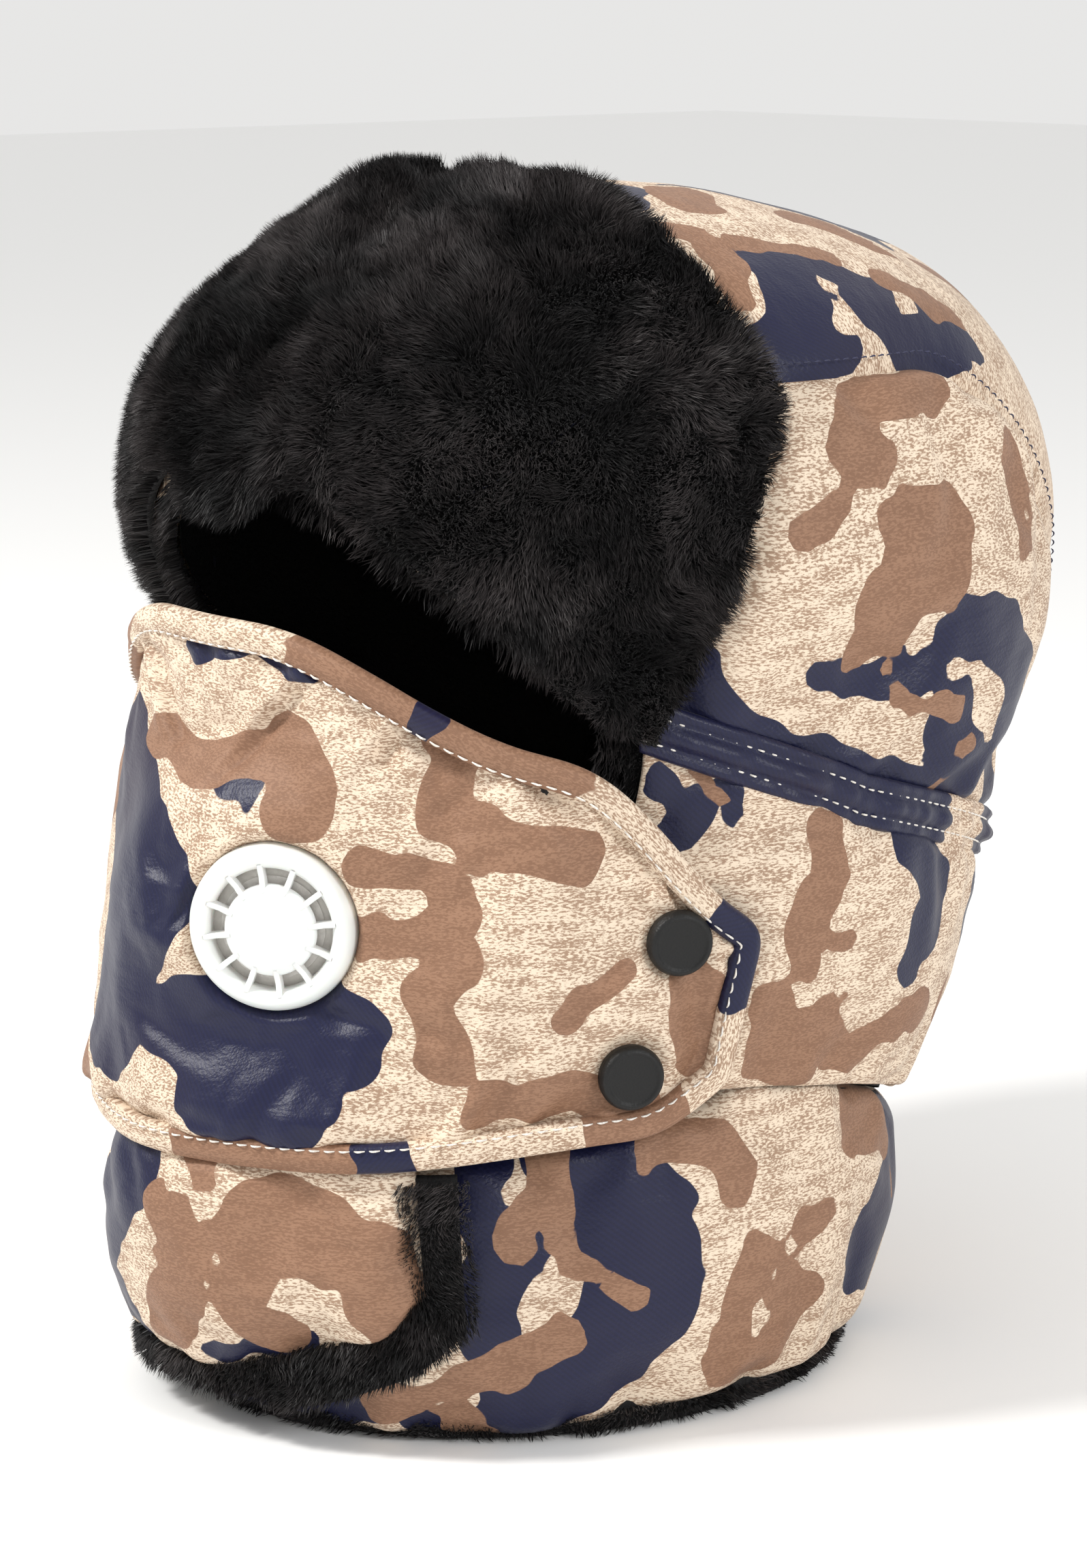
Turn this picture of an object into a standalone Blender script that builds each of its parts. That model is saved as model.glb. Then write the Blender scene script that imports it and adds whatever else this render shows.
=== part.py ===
"""Trapper hat with a removable padded face mask and exhale valve.

The hat stands on its hem: +Z up, the face toward -Y, the wearer's left toward +X. Every soft layer
is a patch of one head form, named by an angle (0 at the face, 90 at the wearer's left, 180 at the
nape), a level up the form and an offset out from it in millimetres.
"""

import math

import bmesh
import bpy
from mathutils import Matrix, Vector

MM = 0.001

# Head form, in millimetres
EQUATOR = 205.0  # level of the widest section; higher levels climb the dome
DOME_SPAN = 120.0  # levels from the widest section to the top of the dome
DOME_RISE = 75.4
DOME_FULLNESS = 2.15
DOME_LEAN = 10.0  # how far the dome's top lies toward the face
FORM = (
    # level, half width, front, back, middle, fullness of the front
    (0, 78.0, -104.0, 52.0, -13.0, 1.90),
    (28, 79.6, -107.0, 58.0, -12.0, 1.85),
    (60, 80.0, -112.0, 69.0, -10.0, 1.75),
    (80, 80.5, -114.0, 77.0, -8.0, 1.70),
    (103, 82.5, -108.0, 87.0, -5.0, 1.70),
    (123, 85.0, -102.0, 97.0, -2.0, 1.70),
    (143, 86.8, -96.0, 106.0, 1.0, 1.75),
    (168, 88.0, -91.0, 114.0, 7.0, 1.90),
    (205, 88.4, -93.4, 121.4, 14.0, 2.10),
)
BACK_FULLNESS = 2.1
FRAME_SHIFT = 1.3  # brings the middle of the whole hat's box onto the origin
COLUMN = 9.0  # degrees between the columns that every layer shares

# Layers, as offsets out from the form
CROWN_LINING = (0.0, 4.6)
CROWN_WADDING = (5.5, 7.3)
CROWN_SHELL = (10.4, 11.6)
EAR_LINING = (0.0, 7.0)
EAR_SHELL = (9.4, 12.0)
SKIRT_LINING = (0.0, 5.0)
SKIRT_SHELL = (5.8, 8.4)
MASK_LINING = (15.3, 16.0)
MASK_SHELL = (18.0, 19.8)
FLAP_BACKING = (14.0, 14.6)
FLAP_FUR = (15.2, 20.6)
OVERLAP_STEP = 11.9  # how far the outside chin wrap stands off over the inside one

# Seams and hems
EAR_EDGE = 57.0  # front edge of the ear panels
EAR_LINING_EDGE = 54.0
WRAP_HINGE = 92.0  # where the chin wraps fold away from the neck skirt
SEAM_GAP = 0.8
SHELL_HEM = 4.0  # the rear shell's hem stands this far over the fur's
LEFT_WRAP_END = -4.0
RIGHT_SHELL_END = 40.0
RIGHT_FUR_END = 46.0
MASK_END = 72.0
BINDING = 7.0

# Snaps and valve
SNAPS = ((63.0, 123.5), (61.0, 92.5))  # angle and level of each on the wearer's left
SNAP_CAP_RADIUS = 7.5
SNAP_POST_RADIUS = 1.5
SNAP_HOLE_RADIUS = 2.1
VALVE_ANGLE, VALVE_LEVEL = 18.0, 126.0
VALVE_TURN = 38.0  # the valve's axis, degrees round from straight ahead
VALVE_RADIUS = 19.6
VALVE_TUBE_RADIUS = 13.4
VALVE_HOLE_RADIUS = 14.0
VALVE_SPOKES = 12
VALVE_PAD = 21.0  # the mask lies flat this far out from the valve's middle

for thing in list(bpy.data.objects):
    bpy.data.objects.remove(thing)
for group in list(bpy.data.collections):
    bpy.data.collections.remove(group)
hat = bpy.data.collections.new("trapper_hat")
cutters = bpy.data.collections.new("cutters")
bpy.context.scene.collection.children.link(hat)
bpy.context.scene.collection.children.link(cutters)


def material(name, colour, roughness, sheen=0.0):
    slot = bpy.data.materials.new(name)
    slot.use_nodes = True
    shader = slot.node_tree.nodes["Principled BSDF"]
    shader.inputs["Base Color"].default_value = (*colour, 1)
    shader.inputs["Roughness"].default_value = roughness
    shader.inputs["Sheen Weight"].default_value = sheen
    return slot


def ease(value, low, high):
    """0 below low, 1 above high, smooth between."""
    part = min(max((value - low) / (high - low), 0.0), 1.0)
    return part * part * (3 - 2 * part)


def form_row(level):
    """The form's sizes at a level, smooth through the rows of FORM."""
    level = min(max(level, 0.0), EQUATOR)
    i = max(k for k in range(len(FORM) - 1) if FORM[k][0] <= level)
    width = FORM[i + 1][0] - FORM[i][0]
    s = (level - FORM[i][0]) / width

    def slope(k, column):
        if k == len(FORM) - 1:
            return 0.0
        low, high = FORM[max(k - 1, 0)], FORM[k + 1]
        return (high[column] - low[column]) / (high[0] - low[0])

    return [
        (2 * s**3 - 3 * s**2 + 1) * FORM[i][c]
        + (s**3 - 2 * s**2 + s) * width * slope(i, c)
        + (3 * s**2 - 2 * s**3) * FORM[i + 1][c]
        + (s**3 - s**2) * width * slope(i + 1, c)
        for c in range(1, 6)
    ]


def on_form(angle, level, offset):
    """A point in metres."""
    half, front, back, middle, fullness = form_row(level)
    centre = middle + FRAME_SHIFT
    s = math.sin(math.radians(angle))
    c = math.cos(math.radians(angle))
    if c > 0:
        y = -(middle - front + offset) * c ** (2 / fullness)
    else:
        fullness = BACK_FULLNESS
        y = (back - middle + offset) * (-c) ** (2 / fullness)
    x = math.copysign((half + offset) * abs(s) ** (2 / fullness), s)
    if level <= EQUATOR:
        return Vector((x, centre + y, level)) * MM
    climb = math.radians(min((level - EQUATOR) / DOME_SPAN, 1.0) * 90)
    over = max(math.cos(climb), 0.0) ** (2 / DOME_FULLNESS)
    up = math.sin(climb) ** (2 / DOME_FULLNESS)
    return Vector((x * over, centre - DOME_LEAN * up + y * over, EQUATOR + (DOME_RISE + offset) * up)) * MM


def snap_frame(angle, level):
    """A snap's foot and axis: square to the mask, measured out from the form beneath."""
    between = 16.0
    along = on_form(angle + 2, level, between) - on_form(angle - 2, level, between)
    up = on_form(angle, level + 3, between) - on_form(angle, level - 3, between)
    axis = along.cross(up).normalized()
    return on_form(angle, level, between) - axis * between * MM, axis


def on_mask(angle, level, offset):
    """A point on the form, drawn flat round the valve so that the valve sits square on the mask."""
    point = on_form(angle, level, offset)
    away = point - valve_centre
    along = away.dot(valve_axis)
    flat = 1 - ease((away - valve_axis * along).length / MM, VALVE_PAD, VALVE_PAD * 2.2)
    return point + valve_axis * flat * ((offset - MASK_SHELL[1]) * MM - along)


def columns(start, end, step=COLUMN):
    """The shared columns between two angles, with the two ends added."""
    first = math.ceil((start + 1.5) / step)
    last = math.floor((end - 1.5) / step)
    return [start] + [k * step for k in range(first, last + 1)] + [end]


def brow(angle):
    """Level of the crown's lower edge, round the face and the back."""
    turn = abs((angle + 180) % 360 - 180)
    if turn < EAR_EDGE:
        return 172 + 50 * math.cos(math.radians(90 * turn / EAR_EDGE)) ** 1.2
    return 110 + 62 * (1 - (turn - EAR_EDGE) / (180 - EAR_EDGE)) ** 1.45


def seam(angle):
    """Level of the seam between the side panels and the centre panel."""
    turn = abs((angle + 180) % 360 - 180)
    rise = ease(turn, 16, 62) * (1 - ease(turn, 100, 166))
    return brow(angle) + 6 + (242 - brow(angle) - 6) * rise


def fold(angle):
    """Level of the fold between the ear panels and the neck skirt."""
    turn = abs((angle + 180) % 360 - 180)
    return 84 - 36 * ease(turn, 66, 180)


def mask_top(angle):
    turn = abs(angle)
    return 193 - 28 * ease(turn, 8, 50) - 40 * ease(turn, 46, 74)


def mask_bottom(angle):
    return 72 + 6 * ease(abs(angle), 30, 64) + 10 * ease(abs(angle), 64, 72)


def wrap_top(angle):
    turn = abs(angle)
    low = mask_bottom(max(turn - 10, 0)) - 3.2
    return low + (fold(angle) - 2.2 - low) * ease(turn, 74, 84)


def outside_step(angle):
    """How far the wearer's right wrap stands off the form at an angle."""
    return OVERLAP_STEP * ease(angle, -38, LEFT_WRAP_END - 5)


def place(name, mesh, slot, origin=(0, 0, 0), group=hat):
    origin = Vector(origin)
    mesh.transform(Matrix.Translation(-origin))
    thing = bpy.data.objects.new(name, mesh)
    thing.location = origin
    group.objects.link(thing)
    if slot:
        mesh.materials.append(slot)
    return thing


def layer(name, slot, angles, low, high, rows, offsets, origin=(0, 0, 0), lift=None, ring=False, pole=False,
          shape=on_form):
    """A solid loft of the form between two edge lines and two offsets."""
    count = len(angles)
    steps = rows if pole else rows + 1
    points = []
    for offset in offsets:
        for angle in angles:
            bottom, top = low(angle), high(angle)
            out = offset + (lift(angle) if lift else 0.0)
            points += [shape(angle, bottom + (top - bottom) * j / rows, out) for j in range(steps)]
    skin = count * steps
    faces = []
    for i in range(count if ring else count - 1):
        a, b = i * steps, (i + 1) % count * steps
        for j in range(steps - 1):
            faces.append((skin + a + j, skin + b + j, skin + b + j + 1, skin + a + j + 1))
            faces.append((a + j, a + j + 1, b + j + 1, b + j))
        faces.append((a, b, skin + b, skin + a))
        if pole:
            faces.append((skin + a + steps - 1, skin + b + steps - 1, 2 * skin + 1))
            faces.append((b + steps - 1, a + steps - 1, 2 * skin))
        else:
            faces.append((skin + a + steps - 1, skin + b + steps - 1, b + steps - 1, a + steps - 1))
    if pole:
        points += [on_form(0, EQUATOR + DOME_SPAN, offset) for offset in offsets]
    if not ring:
        last = (count - 1) * steps
        for j in range(steps - 1):
            faces.append((j, skin + j, skin + j + 1, j + 1))
            faces.append((last + j + 1, skin + last + j + 1, skin + last + j, last + j))
    mesh = bpy.data.meshes.new(name)
    mesh.from_pydata(points, [], faces)
    return place(name, mesh, slot, origin)


def sweep(name, slot, angles, level, profile, origin=(0, 0, 0), ring=False):
    """A strip with the same section all along an edge line; the section is (up, out) in millimetres."""
    points = [on_form(a, level(a) + up, out) for a in angles for up, out in profile]
    size, count = len(profile), len(angles)
    faces = []
    for i in range(count if ring else count - 1):
        a, b = i * size, (i + 1) % count * size
        faces += [(a + k, b + k, b + (k + 1) % size, a + (k + 1) % size) for k in range(size)]
    if not ring:
        faces.append(tuple(range(size)))
        faces.append(tuple(reversed(range((count - 1) * size, count * size))))
    mesh = bpy.data.meshes.new(name)
    mesh.from_pydata(points, [], faces)
    return place(name, mesh, slot, origin)


def turned(name, slot, profile, centre, axis, origin=None, segments=24, group=hat):
    """A body turned about an axis; the profile is (radius, along) in millimetres, top first."""
    mesh = bpy.data.meshes.new(name)
    corners = [(r * MM, 0, w * MM) for r, w in profile]
    closed = profile[0][0] > 0 or profile[-1][0] > 0
    edges = [(k, k + 1) for k in range(len(corners) - 1)]
    if closed:
        edges.append((len(corners) - 1, 0))
    mesh.from_pydata(corners, edges, [])
    facing = Vector(axis).to_track_quat("Z", "Y").to_matrix().to_4x4()
    thing = bpy.data.objects.new(name, mesh)
    group.objects.link(thing)
    screw = thing.modifiers.new("turn", "SCREW")
    screw.steps = segments
    screw.render_steps = segments
    screw.use_merge_vertices = True
    screw.merge_threshold = 0.00005
    evaluated = thing.evaluated_get(bpy.context.evaluated_depsgraph_get())
    body = bpy.data.meshes.new_from_object(evaluated)
    body.name = name + "_turned"
    bpy.data.objects.remove(thing)
    shape = bmesh.new()
    shape.from_mesh(body)
    bmesh.ops.remove_doubles(shape, verts=shape.verts, dist=0.00001)
    bmesh.ops.recalc_face_normals(shape, faces=shape.faces)
    shape.to_mesh(body)
    shape.free()
    body.transform(Matrix.Translation(centre) @ facing)
    finished = place(name, body, slot, origin if origin is not None else (0, 0, 0), group)
    return finished


def cut(thing, cutter):
    hole = thing.modifiers.new("hole", "BOOLEAN")
    hole.operation = "DIFFERENCE"
    hole.solver = "EXACT"
    hole.object = cutter
    cutter.hide_render = True
    cutter.display_type = "WIRE"


def drill(name, radius, low, high, centre, axis, segments=16):
    return turned(name, None, ((0, high), (radius, high), (radius, low), (0, low)), centre, axis,
                  segments=segments, group=cutters)


left_print = material("camo_shell_left", (0.62, 0.50, 0.40), 0.75, 0.2)
right_print = material("camo_shell_right", (0.62, 0.50, 0.40), 0.75, 0.2)
centre_print = material("camo_shell_centre", (0.60, 0.48, 0.38), 0.75, 0.2)
ear_left_print = material("camo_ear_left", (0.62, 0.50, 0.40), 0.75, 0.2)
ear_right_print = material("camo_ear_right", (0.62, 0.50, 0.40), 0.75, 0.2)
skirt_print = material("camo_skirt", (0.62, 0.50, 0.40), 0.75, 0.2)
wrap_left_print = material("camo_wrap_left", (0.62, 0.50, 0.40), 0.75, 0.2)
wrap_right_print = material("camo_wrap_right", (0.62, 0.50, 0.40), 0.75, 0.2)
mask_print = material("camo_mask", (0.62, 0.50, 0.40), 0.75, 0.2)
flap_print = material("camo_flap_backing", (0.55, 0.44, 0.35), 0.8)
casing_print = material("camo_casing", (0.50, 0.44, 0.40), 0.75, 0.2)
binding_print = material("binding_fabric", (0.45, 0.42, 0.42), 0.7)
fur_crown = material("fur_crown_lining", (0.03, 0.026, 0.027), 0.9, 0.4)
fur_ear_left = material("fur_ear_left", (0.03, 0.026, 0.027), 0.9, 0.4)
fur_ear_right = material("fur_ear_right", (0.03, 0.026, 0.027), 0.9, 0.4)
fur_skirt = material("fur_skirt", (0.03, 0.026, 0.027), 0.9, 0.4)
fur_wrap_left = material("fur_wrap_left", (0.03, 0.026, 0.027), 0.9, 0.4)
fur_wrap_right = material("fur_wrap_right", (0.03, 0.026, 0.027), 0.9, 0.4)
fur_flap = material("fur_front_flap", (0.035, 0.03, 0.03), 0.9, 0.4)
fur_temple_left = material("fur_temple_left", (0.035, 0.03, 0.03), 0.9, 0.4)
fur_temple_right = material("fur_temple_right", (0.035, 0.03, 0.03), 0.9, 0.4)
wadding = material("wadding", (0.85, 0.85, 0.83), 0.95)
elastic = material("elastic", (0.80, 0.80, 0.78), 0.8)
soft_lining = material("mask_lining_fabric", (0.05, 0.05, 0.055), 0.85)
snap_left = material("snap_cap_left", (0.03, 0.03, 0.03), 0.55)
snap_right = material("snap_cap_right", (0.03, 0.03, 0.03), 0.55)
stud_metal = material("snap_stud", (0.10, 0.10, 0.10), 0.4)
white_plastic = material("valve_cover", (0.90, 0.89, 0.86), 0.4)
grey_plastic = material("valve_seat", (0.78, 0.77, 0.74), 0.5)
rubber = material("valve_rubber", (0.55, 0.53, 0.50), 0.6)
hook_tape = material("hook_tape", (0.04, 0.04, 0.05), 0.8)
loop_tape = material("loop_tape", (0.06, 0.06, 0.07), 0.95)

# Crown
everywhere = [k * COLUMN for k in range(int(360 / COLUMN))]
top_of_dome = EQUATOR + DOME_SPAN
layer("crown_lining", fur_crown, everywhere, lambda a: brow(a) + 1, lambda a: top_of_dome, 8, CROWN_LINING,
      ring=True, pole=True)
layer("crown_wadding", wadding, everywhere, lambda a: brow(a) + 5, lambda a: top_of_dome, 8, CROWN_WADDING,
      ring=True, pole=True)
layer("crown_centre_panel", centre_print, everywhere,
      lambda a: seam(a) + SEAM_GAP / 2 if seam(a) > brow(a) + 6 else brow(a) + 5.4,
      lambda a: top_of_dome, 8, CROWN_SHELL, ring=True, pole=True)
for side, name, slot in ((1, "left", left_print), (-1, "right", right_print)):
    angles = sorted(side * a for a in columns(18.6, 161.4))
    layer("crown_side_" + name, slot, angles, lambda a: brow(a) + 5.4, lambda a: seam(a) - SEAM_GAP / 2, 6,
          CROWN_SHELL)

# Elastic casing round the crown's lower edge, from temple to temple behind the head
behind = columns(EAR_EDGE, 360 - EAR_EDGE)
sweep("elastic_casing", casing_print, behind, brow,
      ((-4.2, 9.6), (-4.2, 13.2), (-1.5, 14.6), (1.5, 14.6), (4.2, 13.2), (4.2, 9.6), (3.4, 9.6),
       (3.0, 12.4), (-3.0, 12.4), (-3.4, 9.6)))
sweep("rear_elastic", elastic, behind, brow, ((-2.4, 10.4), (-2.4, 11.8), (2.4, 11.8), (2.4, 10.4)))

# Ear and neck panels
for side, name, shell_slot, fur_slot in (
    (1, "left", ear_left_print, fur_ear_left), (-1, "right", ear_right_print, fur_ear_right)
):
    shell_angles = sorted(side * a for a in columns(EAR_EDGE, 179.6))
    fur_angles = sorted(side * a for a in columns(EAR_LINING_EDGE, 179.6))
    shell = layer("ear_shell_" + name, shell_slot, shell_angles, lambda a: fold(a) + 0.5,
                  lambda a: brow(a) - 5.4, 5, EAR_SHELL)
    layer("ear_lining_" + name, fur_slot, fur_angles, lambda a: fold(a) + 0.5,
          lambda a: min(brow(a) - 0.6, 168), 5, EAR_LINING)
    for k, (angle, level) in enumerate(SNAPS):
        centre, axis = snap_frame(side * angle, level)
        cut(shell, drill(f"stud_hole_{name}_{k}", SNAP_HOLE_RADIUS, 6, 15, centre, axis))

# Neck skirt behind, standing on the hem
rear = columns(WRAP_HINGE + 1.2, 360 - WRAP_HINGE - 1.2)
layer("skirt_lining", fur_skirt, rear, lambda a: 0, lambda a: fold(a) - 0.6, 3, SKIRT_LINING)
layer("skirt_shell", skirt_print, rear, lambda a: SHELL_HEM, lambda a: fold(a) - 0.6, 3, SKIRT_SHELL)

# Chin wraps: each turns about an upright line at the side of the neck
hinge_left = on_form(WRAP_HINGE, 0, SKIRT_SHELL[1])
hinge_right = on_form(-WRAP_HINGE, 0, SKIRT_SHELL[1])
left_angles = columns(LEFT_WRAP_END, WRAP_HINGE)
layer("chin_wrap_left_lining", fur_wrap_left, left_angles, lambda a: 0, wrap_top, 3, SKIRT_LINING, hinge_left)
layer("chin_wrap_left_shell", wrap_left_print, left_angles, lambda a: SHELL_HEM, wrap_top, 3, SKIRT_SHELL,
      hinge_left)


def right_fur_hem(angle):
    return 9 * ease(angle, -70, 0) + 14 * ease(angle, 18, RIGHT_FUR_END)


def right_shell_hem(angle):
    return SHELL_HEM + 11 * ease(angle, -70, 0) + 15 * ease(angle, 2, RIGHT_SHELL_END)


right_fur_angles = columns(-WRAP_HINGE, RIGHT_FUR_END)
right_shell_angles = columns(-WRAP_HINGE, RIGHT_SHELL_END)
layer("chin_wrap_right_lining", fur_wrap_right, right_fur_angles, right_fur_hem, wrap_top, 3, SKIRT_LINING,
      hinge_right, outside_step)
layer("chin_wrap_right_shell", wrap_right_print, right_shell_angles, right_shell_hem, wrap_top, 3,
      SKIRT_SHELL, hinge_right, outside_step)
tape_angles = columns(6, 31)
layer("loop_patch", loop_tape, tape_angles, lambda a: 36, lambda a: 60, 1, (8.9, 9.7), hinge_left)
layer("hook_patch", hook_tape, tape_angles, lambda a: 36, lambda a: 60, 1, (10.3, 11.1), hinge_right)

# Face mask
turn = math.radians(VALVE_TURN)
valve_axis = Vector((math.sin(turn), -math.cos(turn), 0))
valve_centre = on_form(VALVE_ANGLE, VALVE_LEVEL, MASK_SHELL[1])
mask_angles = columns(-MASK_END, MASK_END, 6.0)
mask_shell = layer("mask_shell", mask_print, mask_angles, mask_bottom, mask_top, 9, MASK_SHELL,
                   shape=on_mask)
mask_lining = layer("mask_lining", soft_lining, mask_angles, mask_bottom, mask_top, 9, MASK_LINING,
                    shape=on_mask)


def binding_path():
    """The mask's outline as (angle, level, inward across the mask), all the way round."""
    inset = 0.4
    bottom = [(a, mask_bottom(a) - inset, (0, -1)) for a in mask_angles]
    end = mask_bottom(MASK_END), mask_top(MASK_END)
    left = [(MASK_END + inset, end[0] + (end[1] - end[0]) * k / 4, (1, 0)) for k in range(5)]
    top = [(a, mask_top(a) + inset, (0, 1)) for a in reversed(mask_angles)]
    right = [(-MASK_END - inset, end[1] - (end[1] - end[0]) * k / 4, (-1, 0)) for k in range(5)]
    return bottom[1:-1] + left + top[1:-1] + right


def binding():
    """A folded band round the mask's edge, open toward the mask like a channel."""
    section = ((-0.2, 15.0), (-0.2, 20.0), (1.4, 21.0), (1.4, 14.2))
    points = []
    for angle, level, (across, up) in binding_path():
        for reach, out in section:
            points.append(on_form(angle + across * (0.4 + reach) * 0.62, level + up * (0.2 + reach), out))
    size = len(section)
    count = len(points) // size
    faces = []
    for i in range(count):
        a, b = i * size, (i + 1) % count * size
        faces += [(a + k, a + (k + 1) % size, b + (k + 1) % size, b + k) for k in range(size)]
    mesh = bpy.data.meshes.new("mask_binding")
    mesh.from_pydata(points, [], faces)
    return place("mask_binding", mesh, binding_print)


binding()

# Snaps: a stud through the ear panel, a socket and cap through the mask
for side, name, cap_slot in ((1, "left", snap_left), (-1, "right", snap_right)):
    for k, (angle, level) in enumerate(SNAPS):
        place_name = ("upper", "lower")[k]
        centre, axis = snap_frame(side * angle, level)
        turned(f"snap_stud_{name}_{place_name}", stud_metal,
               ((0, 14.2), (1.8, 14.0), (1.5, 12.8), (4.8, 12.8), (4.8, 12.3), (1.5, 12.3), (1.5, 8.4),
                (4.0, 8.4), (4.0, 7.9), (0, 7.9)), centre, axis, segments=12)
        turned(f"snap_cap_{name}_{place_name}", cap_slot,
               ((0, 22.0), (4.6, 22.0), (5.8, 22.5), (7.0, 21.6), (SNAP_CAP_RADIUS, 20.3),
                (SNAP_POST_RADIUS, 20.3), (SNAP_POST_RADIUS, 14.8), (5.0, 14.8), (5.0, 13.2),
                (2.4, 13.2), (2.4, 14.4), (0, 14.4)), centre, axis, segments=16)
        for sheet, sheet_name in ((mask_shell, "shell"), (mask_lining, "lining")):
            cut(sheet, drill(f"cap_hole_{sheet_name}_{name}_{k}", SNAP_HOLE_RADIUS, 12, 23, centre, axis))

# Exhale valve
for sheet, sheet_name in ((mask_shell, "shell"), (mask_lining, "lining")):
    cut(sheet, drill(f"valve_hole_{sheet_name}", VALVE_HOLE_RADIUS, -16, 12, valve_centre, valve_axis, 32))


def valve_seat():
    """The seat's tube, its flange behind the mask and a spoked ring that carries the rubber."""
    seat = turned("valve_seat", grey_plastic,
                  ((VALVE_TUBE_RADIUS - 1.8, 2.6), (VALVE_TUBE_RADIUS, 2.6), (VALVE_TUBE_RADIUS, -8.0),
                   (18.5, -8.0), (18.5, -9.4), (VALVE_TUBE_RADIUS - 1.8, -9.4)),
                  valve_centre, valve_axis, segments=24)
    facing = valve_axis.to_track_quat("Z", "Y").to_matrix().to_4x4()
    for k in range(3):
        spoke = bpy.data.meshes.new("seat_spoke")
        size = Vector((VALVE_TUBE_RADIUS * 1.9, 1.6, 1.2)) * MM / 2
        corners = [Vector((x * size.x, y * size.y, z * size.z)) for x in (-1, 1) for y in (-1, 1) for z in (-1, 1)]
        spoke.from_pydata(corners, [], ((0, 1, 3, 2), (4, 6, 7, 5), (0, 4, 5, 1), (2, 3, 7, 6), (0, 2, 6, 4),
                                        (1, 5, 7, 3)))
        about = Matrix.Rotation(math.radians(60 * k), 4, "Z")
        down = Matrix.Translation(Vector((0, 0, 0.4)) * MM)
        spoke.transform(Matrix.Translation(valve_centre) @ facing @ about @ down)
        bar = place(f"seat_spoke_{k}", spoke, None, group=cutters)
        bar.hide_render = True
        bar.display_type = "WIRE"
        add = seat.modifiers.new("spoke", "BOOLEAN")
        add.operation = "UNION"
        add.solver = "EXACT"
        add.object = bar
    return seat


def valve_cover():
    """A domed cap: outer ring, a sunken trough of vents between spokes, a raised middle disc."""
    cover = turned("valve_cover", white_plastic,
                   ((0, 7.2), (10.2, 7.2), (11.0, 6.8), (11.4, 5.2), (15.4, 5.2), (15.9, 6.4), (17.0, 6.8),
                    (18.6, 5.6), (VALVE_RADIUS, 2.4), (VALVE_RADIUS, 0.6), (13.8, 0.6), (13.8, 4.0),
                    (11.0, 4.0), (10.2, 6.0), (0, 6.0)),
                   valve_centre, valve_axis, segments=36)
    facing = valve_axis.to_track_quat("Z", "Y").to_matrix().to_4x4()
    slot = bpy.data.meshes.new("vents")
    corners, faces = [], []
    for k in range(VALVE_SPOKES):
        first = len(corners)
        for radius in (11.9, 13.5):
            for turn_by in (-10, 10):
                around = math.radians(360 / VALVE_SPOKES * k + turn_by)
                for w in (3.0, 6.2):
                    corners.append(Vector((radius * math.cos(around), radius * math.sin(around), w)) * MM)
        faces += [tuple(first + n for n in f) for f in
                  ((0, 1, 3, 2), (4, 6, 7, 5), (0, 4, 5, 1), (2, 3, 7, 6), (0, 2, 6, 4), (1, 5, 7, 3))]
    slot.from_pydata(corners, [], faces)
    slot.transform(Matrix.Translation(valve_centre) @ facing)
    vents = place("valve_vents", slot, None, group=cutters)
    cut(cover, vents)
    return cover


valve_seat()
valve_cover()
turned("valve_diaphragm", rubber, ((0, 3.3), (12.2, 3.3), (12.2, 2.9), (0, 2.9)), valve_centre, valve_axis,
       valve_centre, segments=32)

# Front flap: a fur panel turned up over the crown, its low ends fixed at the temples
FLAP_HINGE_LEVEL = 222.0
FLAP_END = 76.0
hinge_brow = on_form(0, FLAP_HINGE_LEVEL, CROWN_SHELL[1])


def flap_top(angle):
    """Level of the flap's rear edge; it climbs steeply from each side and lies level over the crown."""
    return 240 + 66 * (1 - (abs(angle) / FLAP_END) ** 8)


def flap_low(angle):
    return FLAP_HINGE_LEVEL + 1.5


def temple_low(angle):
    """Level of the flap's low edge: along the brow to its tip, then up the rear edge."""
    return brow(angle) - 5 if abs(angle) < 58 else 167 + (abs(angle) - 58) * 3.8


def temple_top(angle):
    return FLAP_HINGE_LEVEL - 0.5


flap_angles = columns(-FLAP_END, FLAP_END)
layer("front_flap_fur", fur_flap, flap_angles, flap_low, flap_top, 6, FLAP_FUR, hinge_brow)
layer("front_flap_backing", flap_print, flap_angles, flap_low, flap_top, 6, FLAP_BACKING, hinge_brow)
for side, name, slot in ((1, "left", fur_temple_left), (-1, "right", fur_temple_right)):
    angles = sorted(side * a for a in columns(17, 71))
    layer("temple_fur_" + name, slot, angles, temple_low, temple_top, 3, FLAP_FUR)
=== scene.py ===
"""Trapper hat with a padded face mask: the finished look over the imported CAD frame."""

import math

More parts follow.
